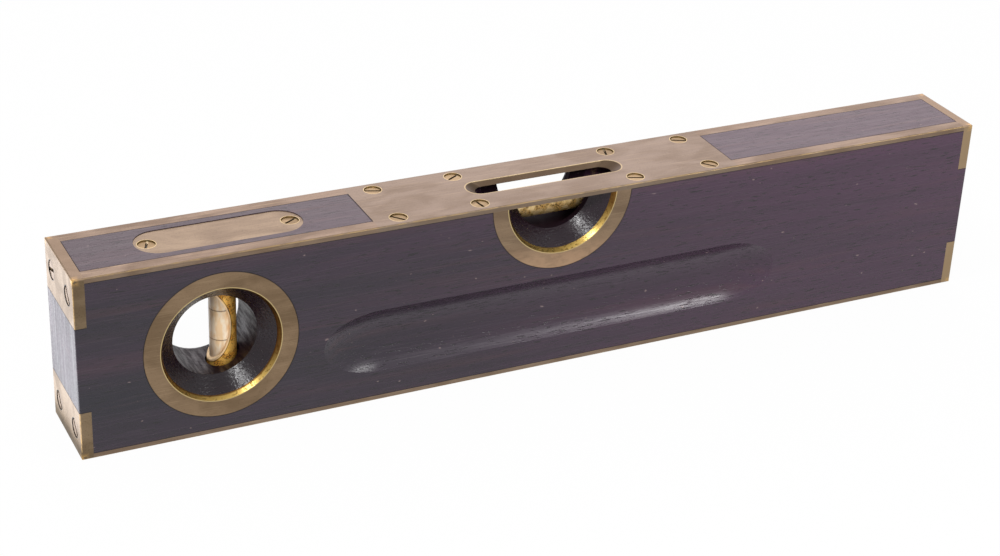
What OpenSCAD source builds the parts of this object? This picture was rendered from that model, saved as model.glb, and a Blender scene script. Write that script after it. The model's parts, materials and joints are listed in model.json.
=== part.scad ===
// Brass bound plumb and level with a wooden stock, a level vial under a slotted top plate,
// a plumb vial in a round sight hole and a finger groove along each side.
// Millimetres. X runs along the level, Y from its front side to its back side, and Z is up.
// The origin is the middle of the base.

/* [Stock] */
// Length of the level
stock_l = 304.8; // [280:0.1:360]
// Width across the two sides
stock_w = 28.8; // [28:0.1:36]
// Height from the base to the top
stock_h = 58.7; // [57:0.1:70]
// Radius to which the outer edges are worn
edge_r = 0.45; // [0.2:0.05:0.8]

/* [Edge strips] */
// Width of a strip on the top or bottom face
strip_w = 4.4; // [3.5:0.1:5.5]
// Thickness of the strips and of the top plate
strip_t = 1.6; // [1.4:0.1:2.2]

/* [End tips] */
// Thickness of a tip along the level
tip_t = 3.5; // [2.5:0.1:5]
// Height of a tip
tip_h = 15.6; // [13:0.1:18]
// Distance of a tip screw from the side of the level
tip_screw_inset = 6.1; // [5:0.1:8]
// Distance of a tip screw from the top or the base
tip_screw_drop = 7.7; // [6:0.1:8.5]
// Head diameter of a tip screw
tip_head_d = 5.8; // [4.8:0.1:6.5]
// Length of a tip screw
tip_screw_l = 15; // [10:0.5:18]

/* [Top plate] */
// Length of the top plate
plate_l = 122.4; // [116:0.1:130]
// Shift of the plate, its slot and the finger grooves to the right of the middle
plate_shift = 0.6; // [-1:0.1:1]
// Distance from the plate's middle to its outer screws
plate_screw_outer = 53.2; // [50:0.1:56]
// Distance from the plate's middle to its inner screws
plate_screw_inner = 26.6; // [26:0.1:30]
// Distance of the plate's screws from the side of the level
plate_screw_inset = 4.4; // [3.8:0.1:4.8]
// Length of a plate screw
plate_screw_l = 12; // [8:0.5:14]
// Length of the sight slot at the top of its bevel
slot_l = 53; // [50:0.1:54]
// Width of the sight slot at the top of its bevel
slot_w = 8.7; // [8:0.1:9.5]
// Length of the sight slot at the underside of the plate
slot_in_l = 46.4; // [44:0.1:48]
// Width of the sight slot at the underside of the plate
slot_in_w = 6.8; // [5.5:0.1:7.5]

/* [Brass screws] */
// Head diameter of the plate and cover screws
head_d = 5.3; // [4.6:0.1:5.6]
// How far the heads of the plate and cover screws are sunk
head_sunk = 0.35; // [0.1:0.05:0.5]
// How far the heads of the tip screws are sunk
tip_head_sunk = 0.2; // [0.05:0.05:0.4]
// Diameter of every wood screw's shank
shank_d = 2.8; // [2.2:0.1:3]
// Straight edge of a countersunk head
head_land = 0.25; // [0.15:0.05:0.4]
// Width of a screwdriver slot
drive_w = 0.75; // [0.5:0.05:1]
// Depth of a screwdriver slot
drive_depth = 0.7; // [0.4:0.05:0.9]
// Gap round a screw in its hole
screw_gap = 0.04; // [0.02:0.01:0.1]

/* [Sight holes] */
// Outer diameter of a sight ring
ring_d = 47.2; // [44:0.1:49]
// Diameter of a sight ring's face at its inner edge
ring_face_d = 36.8; // [36:0.1:38]
// Diameter of a sight ring at the bottom of its bevel
ring_lip_d = 35; // [32:0.1:35.6]
// Thickness of a sight ring
ring_t = 1.7; // [1.2:0.1:2.5]
// Diameter of the hole through the wood
bore_d = 26; // [24:0.1:28]
// Depth from the front at which the wood's flare ends
front_flare_depth = 6.3; // [4:0.1:8]
// Depth from the back at which the wood's flare ends
back_flare_depth = 5.7; // [4:0.1:8]
// Distance from the left end to the plumb hole's centre
plumb_hole_inset = 43; // [41:0.1:50]
// Distance from the top down to the level hole's centre
level_hole_drop = 0.7; // [0:0.1:2]

/* [Finger grooves] */
// Length of a finger groove
groove_l = 156.6; // [120:0.1:170]
// Height of a finger groove on the side
groove_h = 21; // [16:0.1:22]
// Depth of a finger groove
groove_depth = 4.3; // [3:0.1:5]
// Length over which each end of a groove runs out
groove_runout = 19.5; // [15:0.1:25]
// Height of the groove's middle above the base
groove_z = 20.5; // [18:0.1:22]

/* [Vials] */
// Outer diameter of a vial's brass tube
tube_d = 9; // [8.6:0.1:9.4]
// Wall of a vial's brass tube
tube_wall = 0.75; // [0.6:0.05:1]
// Wall of a vial's glass
glass_wall = 0.8; // [0.6:0.05:1]
// Gap between a glass and its tube
glass_gap = 0.05; // [0.02:0.01:0.1]
// Width of a scribed line on a glass
mark_w = 0.3; // [0.2:0.05:0.5]
// Depth of a scribed line on a glass
mark_depth = 0.08; // [0.04:0.01:0.15]
// Distance between the two scribed lines
mark_span = 9.8; // [8:0.1:14]
// Clearance of the running fits
running = 0.05; // [0.03:0.01:0.08]

/* [Level vial] */
// Distance from the top down to the level vial's axis
level_tube_drop = 7.7; // [7:0.1:8.5]
// Length of the level vial's tube
level_tube_l = 58; // [56:0.5:60]
// Length of the window in the level vial's tube
level_window_l = 48; // [46:0.5:50]
// Height of that window's long edges above the tube's middle plane
level_window_rise = 0.6; // [0.2:0.1:1.2]
// Length of the level vial's bubble
level_bubble_l = 14; // [10:0.5:18]
// Diameter of the level vial's bubble
level_bubble_d = 3.2; // [2.4:0.1:3.6]
// Diameter of the pivot pin
pivot_pin_d = 2; // [1.6:0.1:2.4]
// Width of the eye on the pivot pin
eye_w = 5; // [4:0.1:6]
// Thickness of the adjusting lug
lug_t = 1.4; // [1:0.1:2]
// Room between the level vial's tube and the floor under it
level_floor_gap = 1.3; // [1:0.1:1.8]
// Turns of the coil spring
spring_turns = 4; // [3:1:6]
// Wire diameter of the coil spring
spring_wire_d = 0.6; // [0.4:0.05:0.8]

/* [Plumb vial] */
// Distance from the left end to the plumb vial's axis
plumb_tube_inset = 47.6; // [46.5:0.1:56]
// Height of the plumb vial's foot above the base
plumb_foot_z = 7; // [6:0.1:9]
// Gap between the top of the plumb vial's tube and its cover
plumb_top_gap = 3.9; // [2.8:0.1:4.2]
// Radius of the round window cut in the plumb vial's tube
plumb_window_r = 15.4; // [12:0.1:18]
// How far that window is cut past the tube's middle plane
plumb_window_past = 1.2; // [0.6:0.1:1.5]
// Length of the plumb vial's bubble
plumb_bubble_l = 6.5; // [5:0.5:8]
// Diameter of the plumb vial's bubble
plumb_bubble_d = 4.6; // [3.4:0.1:5]
// Distance from the top down to the axis on which the plumb vial rocks
rock_drop = 7.7; // [7.2:0.1:8.2]
// Radius of the rocking nubs under the flange
nub_r = 1; // [0.8:0.05:1.2]
// Thickness of the rocking flange
flange_t = 1.4; // [1:0.1:1.8]
// Thickness of the seat plate under the flange
seat_t = 1.2; // [1:0.1:1.3]
// Gap between the seat plate and the rocking flange
rock_gap = 0.4; // [0.3:0.05:0.5]
// Distance from the plumb vial's axis to each adjusting screw
adjust_arm = 10; // [9:0.1:10.5]

/* [Plumb cover] */
// Length of the plumb vial's cover
cover_l = 51; // [48:0.1:53]
// Width of the plumb vial's cover
cover_w = 14.8; // [14:0.1:16]
// Thickness of the plumb vial's cover
cover_t = 1.2; // [1:0.1:1.5]
// How far the cover is sunk below the wood
cover_sunk = 0.2; // [0.1:0.05:0.4]
// Distance from the cover's middle to each of its screws
cover_screw_x = 21.8; // [20.5:0.1:22.5]
// Length of a cover screw
cover_screw_l = 9; // [7:0.5:10]

/* [Adjusting screws] */
// Head diameter of an adjusting screw
adjust_head_d = 4.4; // [3.8:0.1:4.8]
// Head height of an adjusting screw
adjust_head_t = 1.5; // [1.2:0.1:1.8]
// Shank diameter of an adjusting screw
adjust_shank_d = 2.5; // [2:0.1:2.8]
// Diameter of an adjusting screw's washer
washer_d = 5; // [4.4:0.1:5.4]
// Thickness of an adjusting screw's washer
washer_t = 0.4; // [0.3:0.05:0.6]
// Room for a washer over a tilting lug or flange
washer_gap = 0.08; // [0.06:0.01:0.15]
// Length of the level vial's adjusting screw under its head
level_screw_l = 14; // [10:0.5:16]
// Length of a plumb vial's adjusting screw under its head
plumb_screw_l = 8; // [6:0.5:9]
// Greatest tilt of either vial each way, in degrees
tilt_max = 0.6; // [0.3:0.1:0.7]

/* [Hidden] */
$fn = 64;
over = 1;
half_l = stock_l / 2;
half_w = stock_w / 2;
tube_r = tube_d / 2;
tube_ir = tube_r - tube_wall;
glass_r = tube_ir - glass_gap;
glass_ir = glass_r - glass_wall;
level_window_r = tube_r - level_window_rise;
mark_r = glass_r - mark_depth;

// room that a screw's hole leaves under its point
screw_end_room = 1;
// play of a slotted lug or flange along and across the level round its adjusting screw
play_along = 0.8;
play_across = 0.4;
// thickness of the two slices that a bevelled slot is stretched between
slice = 0.01;

// level hole and level vial
plate_z = stock_h - strip_t;
level_hole_z = stock_h - level_hole_drop;
level_z = stock_h - level_tube_drop;
cap_t = 1.2;
cap_spigot = 2;
eye_wall = 1;
eye_gap = 0.4;
eye_r = pivot_pin_d / 2 + eye_wall;
pivot_x = -level_tube_l / 2 - cap_t - eye_r - eye_gap;
lug_reach = 3;
lug_rim = 2;
lug_x = level_tube_l / 2 + cap_t + washer_d / 2 + lug_reach;
lug_w = adjust_shank_d + 2 * lug_rim;
lug_end = lug_x + lug_w / 2;
level_floor_z = level_z - tube_r - level_floor_gap;
level_washer_z = level_z + lug_t / 2 + washer_gap;
level_screw_z = level_washer_z + washer_t + running;
level_screw_hole_z = level_screw_z - level_screw_l - screw_end_room;
level_screw_slot_angle = 40;
bracket_t = 1.2;
bracket_ear_w = 1.2;
bracket_half_w = eye_w / 2 + running + bracket_ear_w;
bracket_head_gap = 0.6;
bracket_rim = 0.4;
bracket_screw_x = pivot_x - eye_r - head_d / 2 - bracket_head_gap;
bracket_end = bracket_screw_x - head_d / 2 - bracket_rim;
bracket_screw_l = 8;
bracket_slot_angle = 15;
pin_proud = 0.3;
channel_side_gap = 1.5;
channel_end_gap = 2;
channel_r = tube_r + channel_side_gap;
channel_x0 = bracket_end - channel_end_gap;
channel_x1 = lug_end + channel_end_gap;
glass_end_gap = 0.3;
level_glass_l = level_tube_l - 2 * cap_spigot - 2 * glass_end_gap;
bubble_gap = 0.02;
bubble_film = 0.15;
level_bubble_z = glass_ir - level_bubble_d / 2 - bubble_film;

// plumb hole, plumb vial and its cover
cover_z = stock_h - cover_sunk - cover_t;
plumb_hole_x = -half_l + plumb_hole_inset;
plumb_hole_z = stock_h / 2;
plumb_x = -half_l + plumb_tube_inset;
rock_z = stock_h - rock_drop;
seat_top_z = rock_z - rock_gap;
seat_z = seat_top_z - seat_t;
flange_top_z = rock_z + flange_t;
seat_r = 6.2;
seat_reach = 4;
seat_l = 2 * (adjust_arm + seat_reach);
pocket_gap = 0.2;
pocket_r = seat_r + pocket_gap;
pocket_l = seat_l + 2 * pocket_gap;
flange_inset = 0.4;
flange_r = seat_r - flange_inset;
flange_l = seat_l - 2 * flange_inset;
tilt_spare = 0.15;
tilt_room = tan(tilt_max) * (rock_z - plumb_foot_z) + tilt_spare;
plumb_hole_r = tube_r + tilt_room;
seat_hole_r = tube_r + tilt_spare;
solder_gap = 0.01;
foot_t = 1;
foot_spigot = 1.3;
foot_room = 0.5;
plumb_tube_z = plumb_foot_z + foot_t;
plumb_top_z = cover_z - plumb_top_gap;
plug_t = 4;
plumb_glass_z = plumb_tube_z + foot_spigot + glass_end_gap;
plumb_glass_l = plumb_top_z - plug_t - glass_end_gap - plumb_glass_z;
bubble_end_gap = 0.6;
plumb_bubble_z = plumb_glass_z + plumb_glass_l - glass_wall - bubble_end_gap - plumb_bubble_l / 2;
plumb_washer_z = flange_top_z + washer_gap;
plumb_screw_z = plumb_washer_z + washer_t + running;
plumb_screw_hole_z = plumb_screw_z - plumb_screw_l - screw_end_room;
plumb_screw_slot_angle = 35;

wood = "#3a2b2c";
brass = "#b59a6a";
bright_brass = "#c9ae74";
steel = "#8d8f92";
glass = "#dfeef0";
spirit = "#d9e8c4";
air = "#f4fafc";
cork = "#b08a5c";

// Flat shapes and directions

module obround(l, w) {
    square([l - w, w], center = true);
    for (side = [-1, 1]) translate([side * (l - w) / 2, 0]) circle(d = w);
}

module rounded_rect(w, h, r) {
    square([w - 2 * r, h], center = true);
    square([w, h - 2 * r], center = true);
    for (sx = [-1, 1], sy = [-1, 1])
        translate([sx * (w / 2 - r), sy * (h / 2 - r)]) circle(r = r);
}

// Stands a flat shape drawn in X and Z on edge, from y0 to y1
module along_y(y0, y1) {
    translate([0, y1, 0]) rotate([90, 0, 0]) linear_extrude(y1 - y0) children();
}

// Stands a flat shape drawn in Y and Z on edge, from x0 to x1
module along_x(x0, x1) {
    translate([x0, 0, 0]) rotate([90, 0, 90]) linear_extrude(x1 - x0) children();
}

// A turned shape whose axis enters the front side at x and z
module from_front(x, z) {
    translate([x, -half_w, z]) rotate([-90, 0, 0]) children();
}

module front_and_back() {
    children();
    mirror([0, 1, 0]) children();
}

// The block with worn edges that bounds every outer piece
module envelope() {
    intersection() {
        along_x(-half_l, half_l) translate([0, stock_h / 2]) rounded_rect(stock_w, stock_h, edge_r);
        along_y(-half_w, half_w) translate([0, stock_h / 2]) rounded_rect(stock_l, stock_h, edge_r);
        linear_extrude(stock_h) rounded_rect(stock_l, stock_w, edge_r);
    }
}

// Screws

// Turned outline of a countersunk wood screw hanging below z = 0, grown by a gap
module screw_turning(d, len, gap) {
    head_r = d / 2 + gap;
    shank_r = shank_d / 2 + gap;
    cone_end = head_land + d / 2 - shank_d / 2;
    rotate_extrude() polygon([
        [0, 0], [head_r, 0], [head_r, -head_land], [shank_r, -cone_end],
        [shank_r, -len + shank_d], [0, -len - gap]
    ]);
}

module wood_screw(d, len, slot_angle) {
    difference() {
        screw_turning(d, len, 0);
        rotate([0, 0, slot_angle]) translate([-d, -drive_w / 2, -drive_depth])
            cube([2 * d, drive_w, drive_depth + over]);
    }
}

// The hole for a wood screw, open above its head
module screw_hole(d, len) {
    screw_turning(d, len, screw_gap);
    cylinder(r = d / 2 + screw_gap, h = over);
}

// A cheese headed adjusting screw whose head stands on z = 0
module adjusting_screw(len, slot_angle) {
    difference() {
        union() {
            cylinder(d = adjust_head_d, h = adjust_head_t);
            translate([0, 0, -len]) cylinder(d = adjust_shank_d, h = len + over / 2);
        }
        rotate([0, 0, slot_angle])
            translate([-adjust_head_d, -drive_w / 2, adjust_head_t - drive_depth])
            cube([2 * adjust_head_d, drive_w, drive_depth + over]);
    }
}

// The slot in a lug or a flange that leaves its adjusting screw room while it tilts
module screw_slot() {
    obround(adjust_shank_d + play_along, adjust_shank_d + play_across);
}

module washer() {
    difference() {
        cylinder(d = washer_d, h = washer_t);
        translate([0, 0, -over]) cylinder(d = adjust_shank_d + 2 * running, h = washer_t + 2 * over);
    }
}

// Where the screws stand

plate_slot_angles = [-20, -50, 30, -80, 73, -20, -25, -50];
plate_screw_points = [
    for (x = [-plate_screw_outer, -plate_screw_inner, plate_screw_inner, plate_screw_outer])
        for (side = [1, -1]) [plate_shift + x, side * (half_w - plate_screw_inset)]
];
cover_slot_angles = [67, 30];
tip_slot_angles = [75, 110, 20, 100];

module at_plate_screws() {
    for (i = [0 : len(plate_screw_points) - 1])
        translate([plate_screw_points[i].x, plate_screw_points[i].y, stock_h - head_sunk]) {
            $slot_angle = plate_slot_angles[i];
            children();
        }
}

module at_cover_screws() {
    for (i = [0, 1])
        translate([plumb_x + (2 * i - 1) * cover_screw_x, 0, stock_h - cover_sunk - head_sunk]) {
            $slot_angle = cover_slot_angles[i];
            children();
        }
}

// side is -1 for the left end and 1 for the right end
module at_tip_screws(side) {
    for (i = [0 : 3])
        translate([
            side * (half_l - tip_head_sunk),
            (i % 2 == 0 ? 1 : -1) * (half_w - tip_screw_inset),
            i < 2 ? stock_h - tip_screw_drop : tip_screw_drop
        ]) rotate([0, side * 90, 0]) {
            $slot_angle = tip_slot_angles[i];
            children();
        }
}

// Cuts in the stock

// The seat of a sight ring and the flare behind it, down to the given depth
module flare(depth) {
    rotate_extrude() polygon([
        [0, -over], [ring_d / 2, -over], [ring_d / 2, ring_t], [ring_lip_d / 2, ring_t],
        [bore_d / 2, depth], [0, depth]
    ]);
}

module flare_cut(x, z) {
    from_front(x, z) flare(front_flare_depth);
    mirror([0, 1, 0]) from_front(x, z) flare(back_flare_depth);
    from_front(x, z) cylinder(d = bore_d, h = stock_w);
}

// Section radius of the groove, and radius of the sweep that runs its ends out
groove_r = (groove_h * groove_h / 4 + groove_depth * groove_depth) / (2 * groove_depth);
runout_r = (groove_runout * groove_runout + groove_depth * groove_depth) / (2 * groove_depth);
groove_straight = groove_l / 2 - groove_runout;

module groove_cut() {
    front_and_back() translate([plate_shift, -half_w + groove_depth, groove_z]) {
        translate([-groove_straight, -groove_r, 0]) rotate([0, 90, 0])
            cylinder(r = groove_r, h = 2 * groove_straight);
        for (side = [0, 1]) mirror([side, 0, 0])
            translate([-groove_straight, -runout_r, 0]) rotate([0, 0, 90])
            rotate_extrude(angle = 90)
            translate([runout_r - groove_r, 0]) intersection() {
                circle(r = groove_r);
                translate([0, -groove_r]) square([groove_r, 2 * groove_r]);
            }
    }
}

module level_channel_cut() {
    translate([(channel_x0 + channel_x1) / 2, 0, level_floor_z])
        linear_extrude(stock_h) obround(channel_x1 - channel_x0, 2 * channel_r);
    translate([lug_x, 0, level_screw_hole_z])
        cylinder(d = adjust_shank_d + 2 * running, h = level_z - level_screw_hole_z);
    translate([bracket_screw_x, 0, level_floor_z + bracket_t])
        screw_hole(head_d, bracket_screw_l);
}

module plumb_pocket_cut() {
    translate([plumb_x, 0, cover_z]) linear_extrude(stock_h) obround(cover_l, cover_w);
    translate([plumb_x, 0, seat_z]) linear_extrude(stock_h) obround(pocket_l, 2 * pocket_r);
    translate([plumb_x, 0, plumb_foot_z - foot_room]) cylinder(r = plumb_hole_r, h = stock_h);
    for (side = [-1, 1]) translate([plumb_x + side * adjust_arm, 0, plumb_screw_hole_z])
        cylinder(d = adjust_shank_d + 2 * running, h = rock_z - plumb_screw_hole_z);
}

// Bounds of the strips, tips and plate, before the worn edges are taken off

// side: -1 front, 1 back. The strip runs from x0 to x1 on the top (up = 1) or the base (up = 0)
module strip_block(side, up, x0, x1) {
    translate([x0, side > 0 ? half_w - strip_w : -half_w, up > 0 ? plate_z : 0])
        cube([x1 - x0, strip_w, strip_t]);
}

module tip_block(side, up) {
    translate([side > 0 ? half_l - tip_t : -half_l, -half_w, up > 0 ? stock_h - tip_h : 0])
        cube([tip_t, stock_w, tip_h]);
}

module plate_block() {
    translate([plate_shift - plate_l / 2, -half_w, plate_z]) cube([plate_l, stock_w, strip_t]);
}

module all_strip_blocks() {
    for (side = [-1, 1]) {
        strip_block(side, 1, -half_l, half_l);
        strip_block(side, 0, -half_l, half_l);
    }
}

module stock() {
    color(wood) difference() {
        envelope();
        all_strip_blocks();
        plate_block();
        for (side = [-1, 1], up = [0, 1]) tip_block(side, up);
        flare_cut(plumb_hole_x, plumb_hole_z);
        flare_cut(0, level_hole_z);
        groove_cut();
        level_channel_cut();
        plumb_pocket_cut();
        at_plate_screws() screw_hole(head_d, plate_screw_l);
        at_cover_screws() screw_hole(head_d, cover_screw_l);
        for (side = [-1, 1]) at_tip_screws(side) screw_hole(tip_head_d, tip_screw_l);
    }
}

module top_plate() {
    color(brass) difference() {
        intersection() {
            envelope();
            plate_block();
        }
        translate([plate_shift, 0, 0]) hull() {
            translate([0, 0, plate_z - slice]) linear_extrude(slice)
                obround(slot_in_l, slot_in_w, $fn = 40);
            translate([0, 0, stock_h]) linear_extrude(slice) obround(slot_l, slot_w, $fn = 40);
        }
        at_plate_screws() screw_hole(head_d, plate_screw_l);
    }
}

module top_plate_screws() {
    color(bright_brass) at_plate_screws() wood_screw(head_d, plate_screw_l, $slot_angle);
}

module plumb_cover() {
    color(brass) difference() {
        translate([plumb_x, 0, cover_z]) linear_extrude(cover_t)
            obround(cover_l - 2 * screw_gap, cover_w - 2 * screw_gap);
        at_cover_screws() screw_hole(head_d, cover_screw_l);
    }
}

module plumb_cover_screws() {
    color(bright_brass) at_cover_screws() wood_screw(head_d, cover_screw_l, $slot_angle);
}

module edge_strip(side, up, x0, x1) {
    color(brass) intersection() {
        envelope();
        strip_block(side, up, x0, x1);
    }
}

strip_left = -half_l + tip_t;
strip_right = half_l - tip_t;
plate_left = plate_shift - plate_l / 2;
plate_right = plate_shift + plate_l / 2;

module front_top_left_strip() { edge_strip(-1, 1, strip_left, plate_left); }
module front_top_right_strip() { edge_strip(-1, 1, plate_right, strip_right); }
module back_top_left_strip() { edge_strip(1, 1, strip_left, plate_left); }
module back_top_right_strip() { edge_strip(1, 1, plate_right, strip_right); }
module front_bottom_strip() { edge_strip(-1, 0, strip_left, strip_right); }
module back_bottom_strip() { edge_strip(1, 0, strip_left, strip_right); }

module end_tip(side, up) {
    color(brass) difference() {
        intersection() {
            envelope();
            tip_block(side, up);
        }
        at_tip_screws(side) screw_hole(tip_head_d, tip_screw_l);
    }
}

module left_top_tip() { end_tip(-1, 1); }
module left_bottom_tip() { end_tip(-1, 0); }
module right_top_tip() { end_tip(1, 1); }
module right_bottom_tip() { end_tip(1, 0); }

module tip_screws(side) {
    color(bright_brass) at_tip_screws(side) wood_screw(tip_head_d, tip_screw_l, $slot_angle);
}

module left_tip_screws() { tip_screws(-1); }
module right_tip_screws() { tip_screws(1); }

// A sight ring let into the wood, flush with the side, with a bevel down to its lip
module sight_ring(x, z) {
    from_front(x, z) rotate_extrude() polygon([
        [ring_face_d / 2, 0], [ring_d / 2, 0], [ring_d / 2, ring_t], [ring_lip_d / 2, ring_t]
    ]);
}

module plumb_ring_front() {
    color(brass) sight_ring(plumb_hole_x, plumb_hole_z);
}

module plumb_ring_back() {
    color(brass) mirror([0, 1, 0]) sight_ring(plumb_hole_x, plumb_hole_z);
}

// The level hole's ring is cut off by the underside of the top plate
module level_ring_front() {
    color(brass) difference() {
        sight_ring(0, level_hole_z);
        translate([-ring_d, -half_w - over, plate_z]) cube([2 * ring_d, ring_t + 2 * over, ring_d]);
    }
}

module level_ring_back() {
    color(brass) mirror([0, 1, 0]) level_ring_front();
}

// Vials

// A closed glass with two scribed lines round it, along Z from 0 to len
module vial_glass(len, middle) {
    difference() {
        union() {
            translate([0, 0, glass_wall]) cylinder(r = glass_r, h = len - 2 * glass_wall);
            rotate_extrude() polygon([
                [0, 0], [glass_r - glass_wall, 0], [glass_r, glass_wall], [0, glass_wall]
            ]);
            rotate_extrude() polygon([
                [0, len], [glass_r - glass_wall, len], [glass_r, len - glass_wall],
                [0, len - glass_wall]
            ]);
        }
        translate([0, 0, glass_wall]) cylinder(r = glass_ir, h = len - 2 * glass_wall);
        for (side = [-1, 1]) translate([0, 0, middle + side * mark_span / 2 - mark_w / 2])
            difference() {
                cylinder(r = glass_r + over, h = mark_w);
                translate([0, 0, -over]) cylinder(r = mark_r, h = mark_w + 2 * over);
            }
    }
}

// A bubble with round ends, along Z with its middle at 0, grown by a gap
module bubble_shape(len, d, gap) {
    r = d / 2 + gap;
    translate([0, 0, -(len - d) / 2]) cylinder(r = r, h = len - d);
    for (side = [-1, 1]) translate([0, 0, side * (len - d) / 2]) sphere(r = r);
}

module along_level(x) {
    translate([x, 0, level_z]) rotate([0, 90, 0]) children();
}

module level_vial_case() {
    color(bright_brass) difference() {
        along_level(-level_tube_l / 2) difference() {
            cylinder(r = tube_r, h = level_tube_l);
            translate([0, 0, -over]) cylinder(r = tube_ir, h = level_tube_l + 2 * over);
        }
        translate([0, 0, level_z + tube_r]) along_y(-half_w, half_w)
            obround(level_window_l, 2 * level_window_r);
    }
}

// Closes the tube's left end and carries the eye that turns on the pivot pin
module level_pivot_cap() {
    color(brass) difference() {
        union() {
            along_level(-level_tube_l / 2 - cap_t) cylinder(r = tube_r, h = cap_t);
            along_level(-level_tube_l / 2 - cap_t / 2)
                cylinder(r = tube_ir - running / 2, h = cap_spigot + cap_t / 2);
            translate([pivot_x, 0, level_z]) rotate([90, 0, 0])
                cylinder(r = eye_r, h = eye_w, center = true);
            translate([pivot_x, -eye_w / 2, level_z - lug_t / 2])
                cube([-level_tube_l / 2 - cap_t / 2 - pivot_x, eye_w, lug_t]);
        }
        translate([pivot_x, 0, level_z]) rotate([90, 0, 0])
            cylinder(d = pivot_pin_d + 2 * running, h = eye_w + 2 * over, center = true);
    }
}

// Closes the tube's right end and carries the lug that the adjusting screw holds down
module level_lug_cap() {
    color(brass) difference() {
        union() {
            along_level(level_tube_l / 2) cylinder(r = tube_r, h = cap_t);
            along_level(level_tube_l / 2 - cap_spigot)
                cylinder(r = tube_ir - running / 2, h = cap_spigot + cap_t / 2);
            translate([level_tube_l / 2 + cap_t / 2, -lug_w / 2, level_z - lug_t / 2])
                cube([lug_end - level_tube_l / 2 - cap_t / 2, lug_w, lug_t]);
        }
        translate([lug_x, 0, level_z - lug_t]) linear_extrude(2 * lug_t) screw_slot();
    }
}

module level_vial_glass() {
    color(glass, 0.4) along_level(-level_glass_l / 2) vial_glass(level_glass_l, level_glass_l / 2);
}

module level_spirit() {
    color(spirit, 0.5) difference() {
        along_level(-level_glass_l / 2 + glass_wall)
            cylinder(r = glass_ir, h = level_glass_l - 2 * glass_wall);
        translate([0, 0, level_bubble_z]) along_level(0)
            bubble_shape(level_bubble_l, level_bubble_d, bubble_gap);
    }
}

module level_bubble() {
    color(air, 0.6) translate([0, 0, level_bubble_z]) along_level(0)
        bubble_shape(level_bubble_l, level_bubble_d, 0);
}

// A base screwed to the channel's floor, with an ear on each side of the eye
module level_pivot_bracket() {
    color(brass) difference() {
        union() {
            translate([bracket_end, -bracket_half_w, level_floor_z])
                cube([pivot_x + eye_r - bracket_end, 2 * bracket_half_w, bracket_t]);
            for (side = [0, 1]) mirror([0, side, 0]) {
                translate([pivot_x - eye_r, eye_w / 2 + running, level_floor_z])
                    cube([2 * eye_r, bracket_ear_w, level_z - level_floor_z]);
                translate([pivot_x, bracket_half_w, level_z]) rotate([90, 0, 0])
                    cylinder(r = eye_r, h = bracket_ear_w);
            }
        }
        translate([pivot_x, 0, level_z]) rotate([90, 0, 0])
            cylinder(d = pivot_pin_d, h = 2 * stock_w, center = true);
        translate([bracket_screw_x, 0, level_floor_z + bracket_t])
            screw_hole(head_d, bracket_screw_l);
    }
}

module level_pivot_pin() {
    color(steel) translate([pivot_x, 0, level_z]) rotate([90, 0, 0])
        cylinder(d = pivot_pin_d, h = 2 * (bracket_half_w + pin_proud), center = true);
}

module level_bracket_screw() {
    color(bright_brass) translate([bracket_screw_x, 0, level_floor_z + bracket_t])
        wood_screw(head_d, bracket_screw_l, bracket_slot_angle);
}

module level_adjusting_screw() {
    color(steel) translate([lug_x, 0, level_screw_z])
        adjusting_screw(level_screw_l, level_screw_slot_angle);
}

module level_adjusting_washer() {
    color(brass) translate([lug_x, 0, level_washer_z]) washer();
}

// Coil spring that lifts the lug against its screw: one wire swept round the screw's shank
spring_sides = 6;
spring_steps = 16;
spring_play = 0.35;
spring_r = adjust_shank_d / 2 + spring_play + spring_wire_d / 2;
spring_bottom = level_floor_z + spring_wire_d / 2;
spring_top = level_z - lug_t / 2 - running - spring_wire_d / 2;

function spring_point(i, j) =
    let (
        turn = 360 * i / spring_steps,
        round = 360 * j / spring_sides,
        r = spring_r + spring_wire_d / 2 * cos(round)
    )
    [
        r * cos(turn), r * sin(turn),
        spring_bottom + (spring_top - spring_bottom) * i / (spring_turns * spring_steps)
            + spring_wire_d / 2 * sin(round)
    ];

module level_adjusting_spring() {
    rings = spring_turns * spring_steps;
    points = [for (i = [0 : rings]) for (j = [0 : spring_sides - 1]) spring_point(i, j)];
    function at(i, j) = i * spring_sides + j % spring_sides;
    skin = [
        for (i = [0 : rings - 1]) for (j = [0 : spring_sides - 1]) each [
            [at(i, j), at(i + 1, j), at(i + 1, j + 1)],
            [at(i, j), at(i + 1, j + 1), at(i, j + 1)]
        ]
    ];
    ends = [
        for (j = [1 : spring_sides - 2]) each [
            [at(0, 0), at(0, j), at(0, j + 1)],
            [at(rings, 0), at(rings, j + 1), at(rings, j)]
        ]
    ];
    color(steel) translate([lug_x, 0, 0]) polyhedron(points, concat(skin, ends));
}

module plumb_vial_case() {
    color(bright_brass) difference() {
        translate([plumb_x, 0, plumb_tube_z]) difference() {
            cylinder(r = tube_r, h = plumb_top_z - plumb_tube_z);
            translate([0, 0, -over]) cylinder(r = tube_ir, h = stock_h);
        }
        translate([plumb_x + plumb_window_past - plumb_window_r, 0, plumb_hole_z])
            rotate([90, 0, 0]) cylinder(r = plumb_window_r, h = stock_w, center = true);
    }
}

// A bar soldered round the tube, with a nub under it on each side to rock on
module plumb_rocker_flange() {
    color(brass) translate([plumb_x, 0, rock_z]) difference() {
        union() {
            linear_extrude(flange_t) obround(flange_l, 2 * flange_r);
            difference() {
                rotate([90, 0, 0]) cylinder(r = nub_r, h = 2 * flange_r, center = true);
                translate([-2 * nub_r, -stock_w, flange_t / 2])
                    cube([4 * nub_r, 2 * stock_w, 4 * nub_r]);
            }
        }
        translate([0, 0, -2 * nub_r])
            cylinder(r = tube_r + solder_gap, h = 2 * nub_r + flange_t + over);
        for (side = [-1, 1]) translate([side * adjust_arm, 0, -over])
            linear_extrude(flange_t + 2 * over) screw_slot();
    }
}

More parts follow.
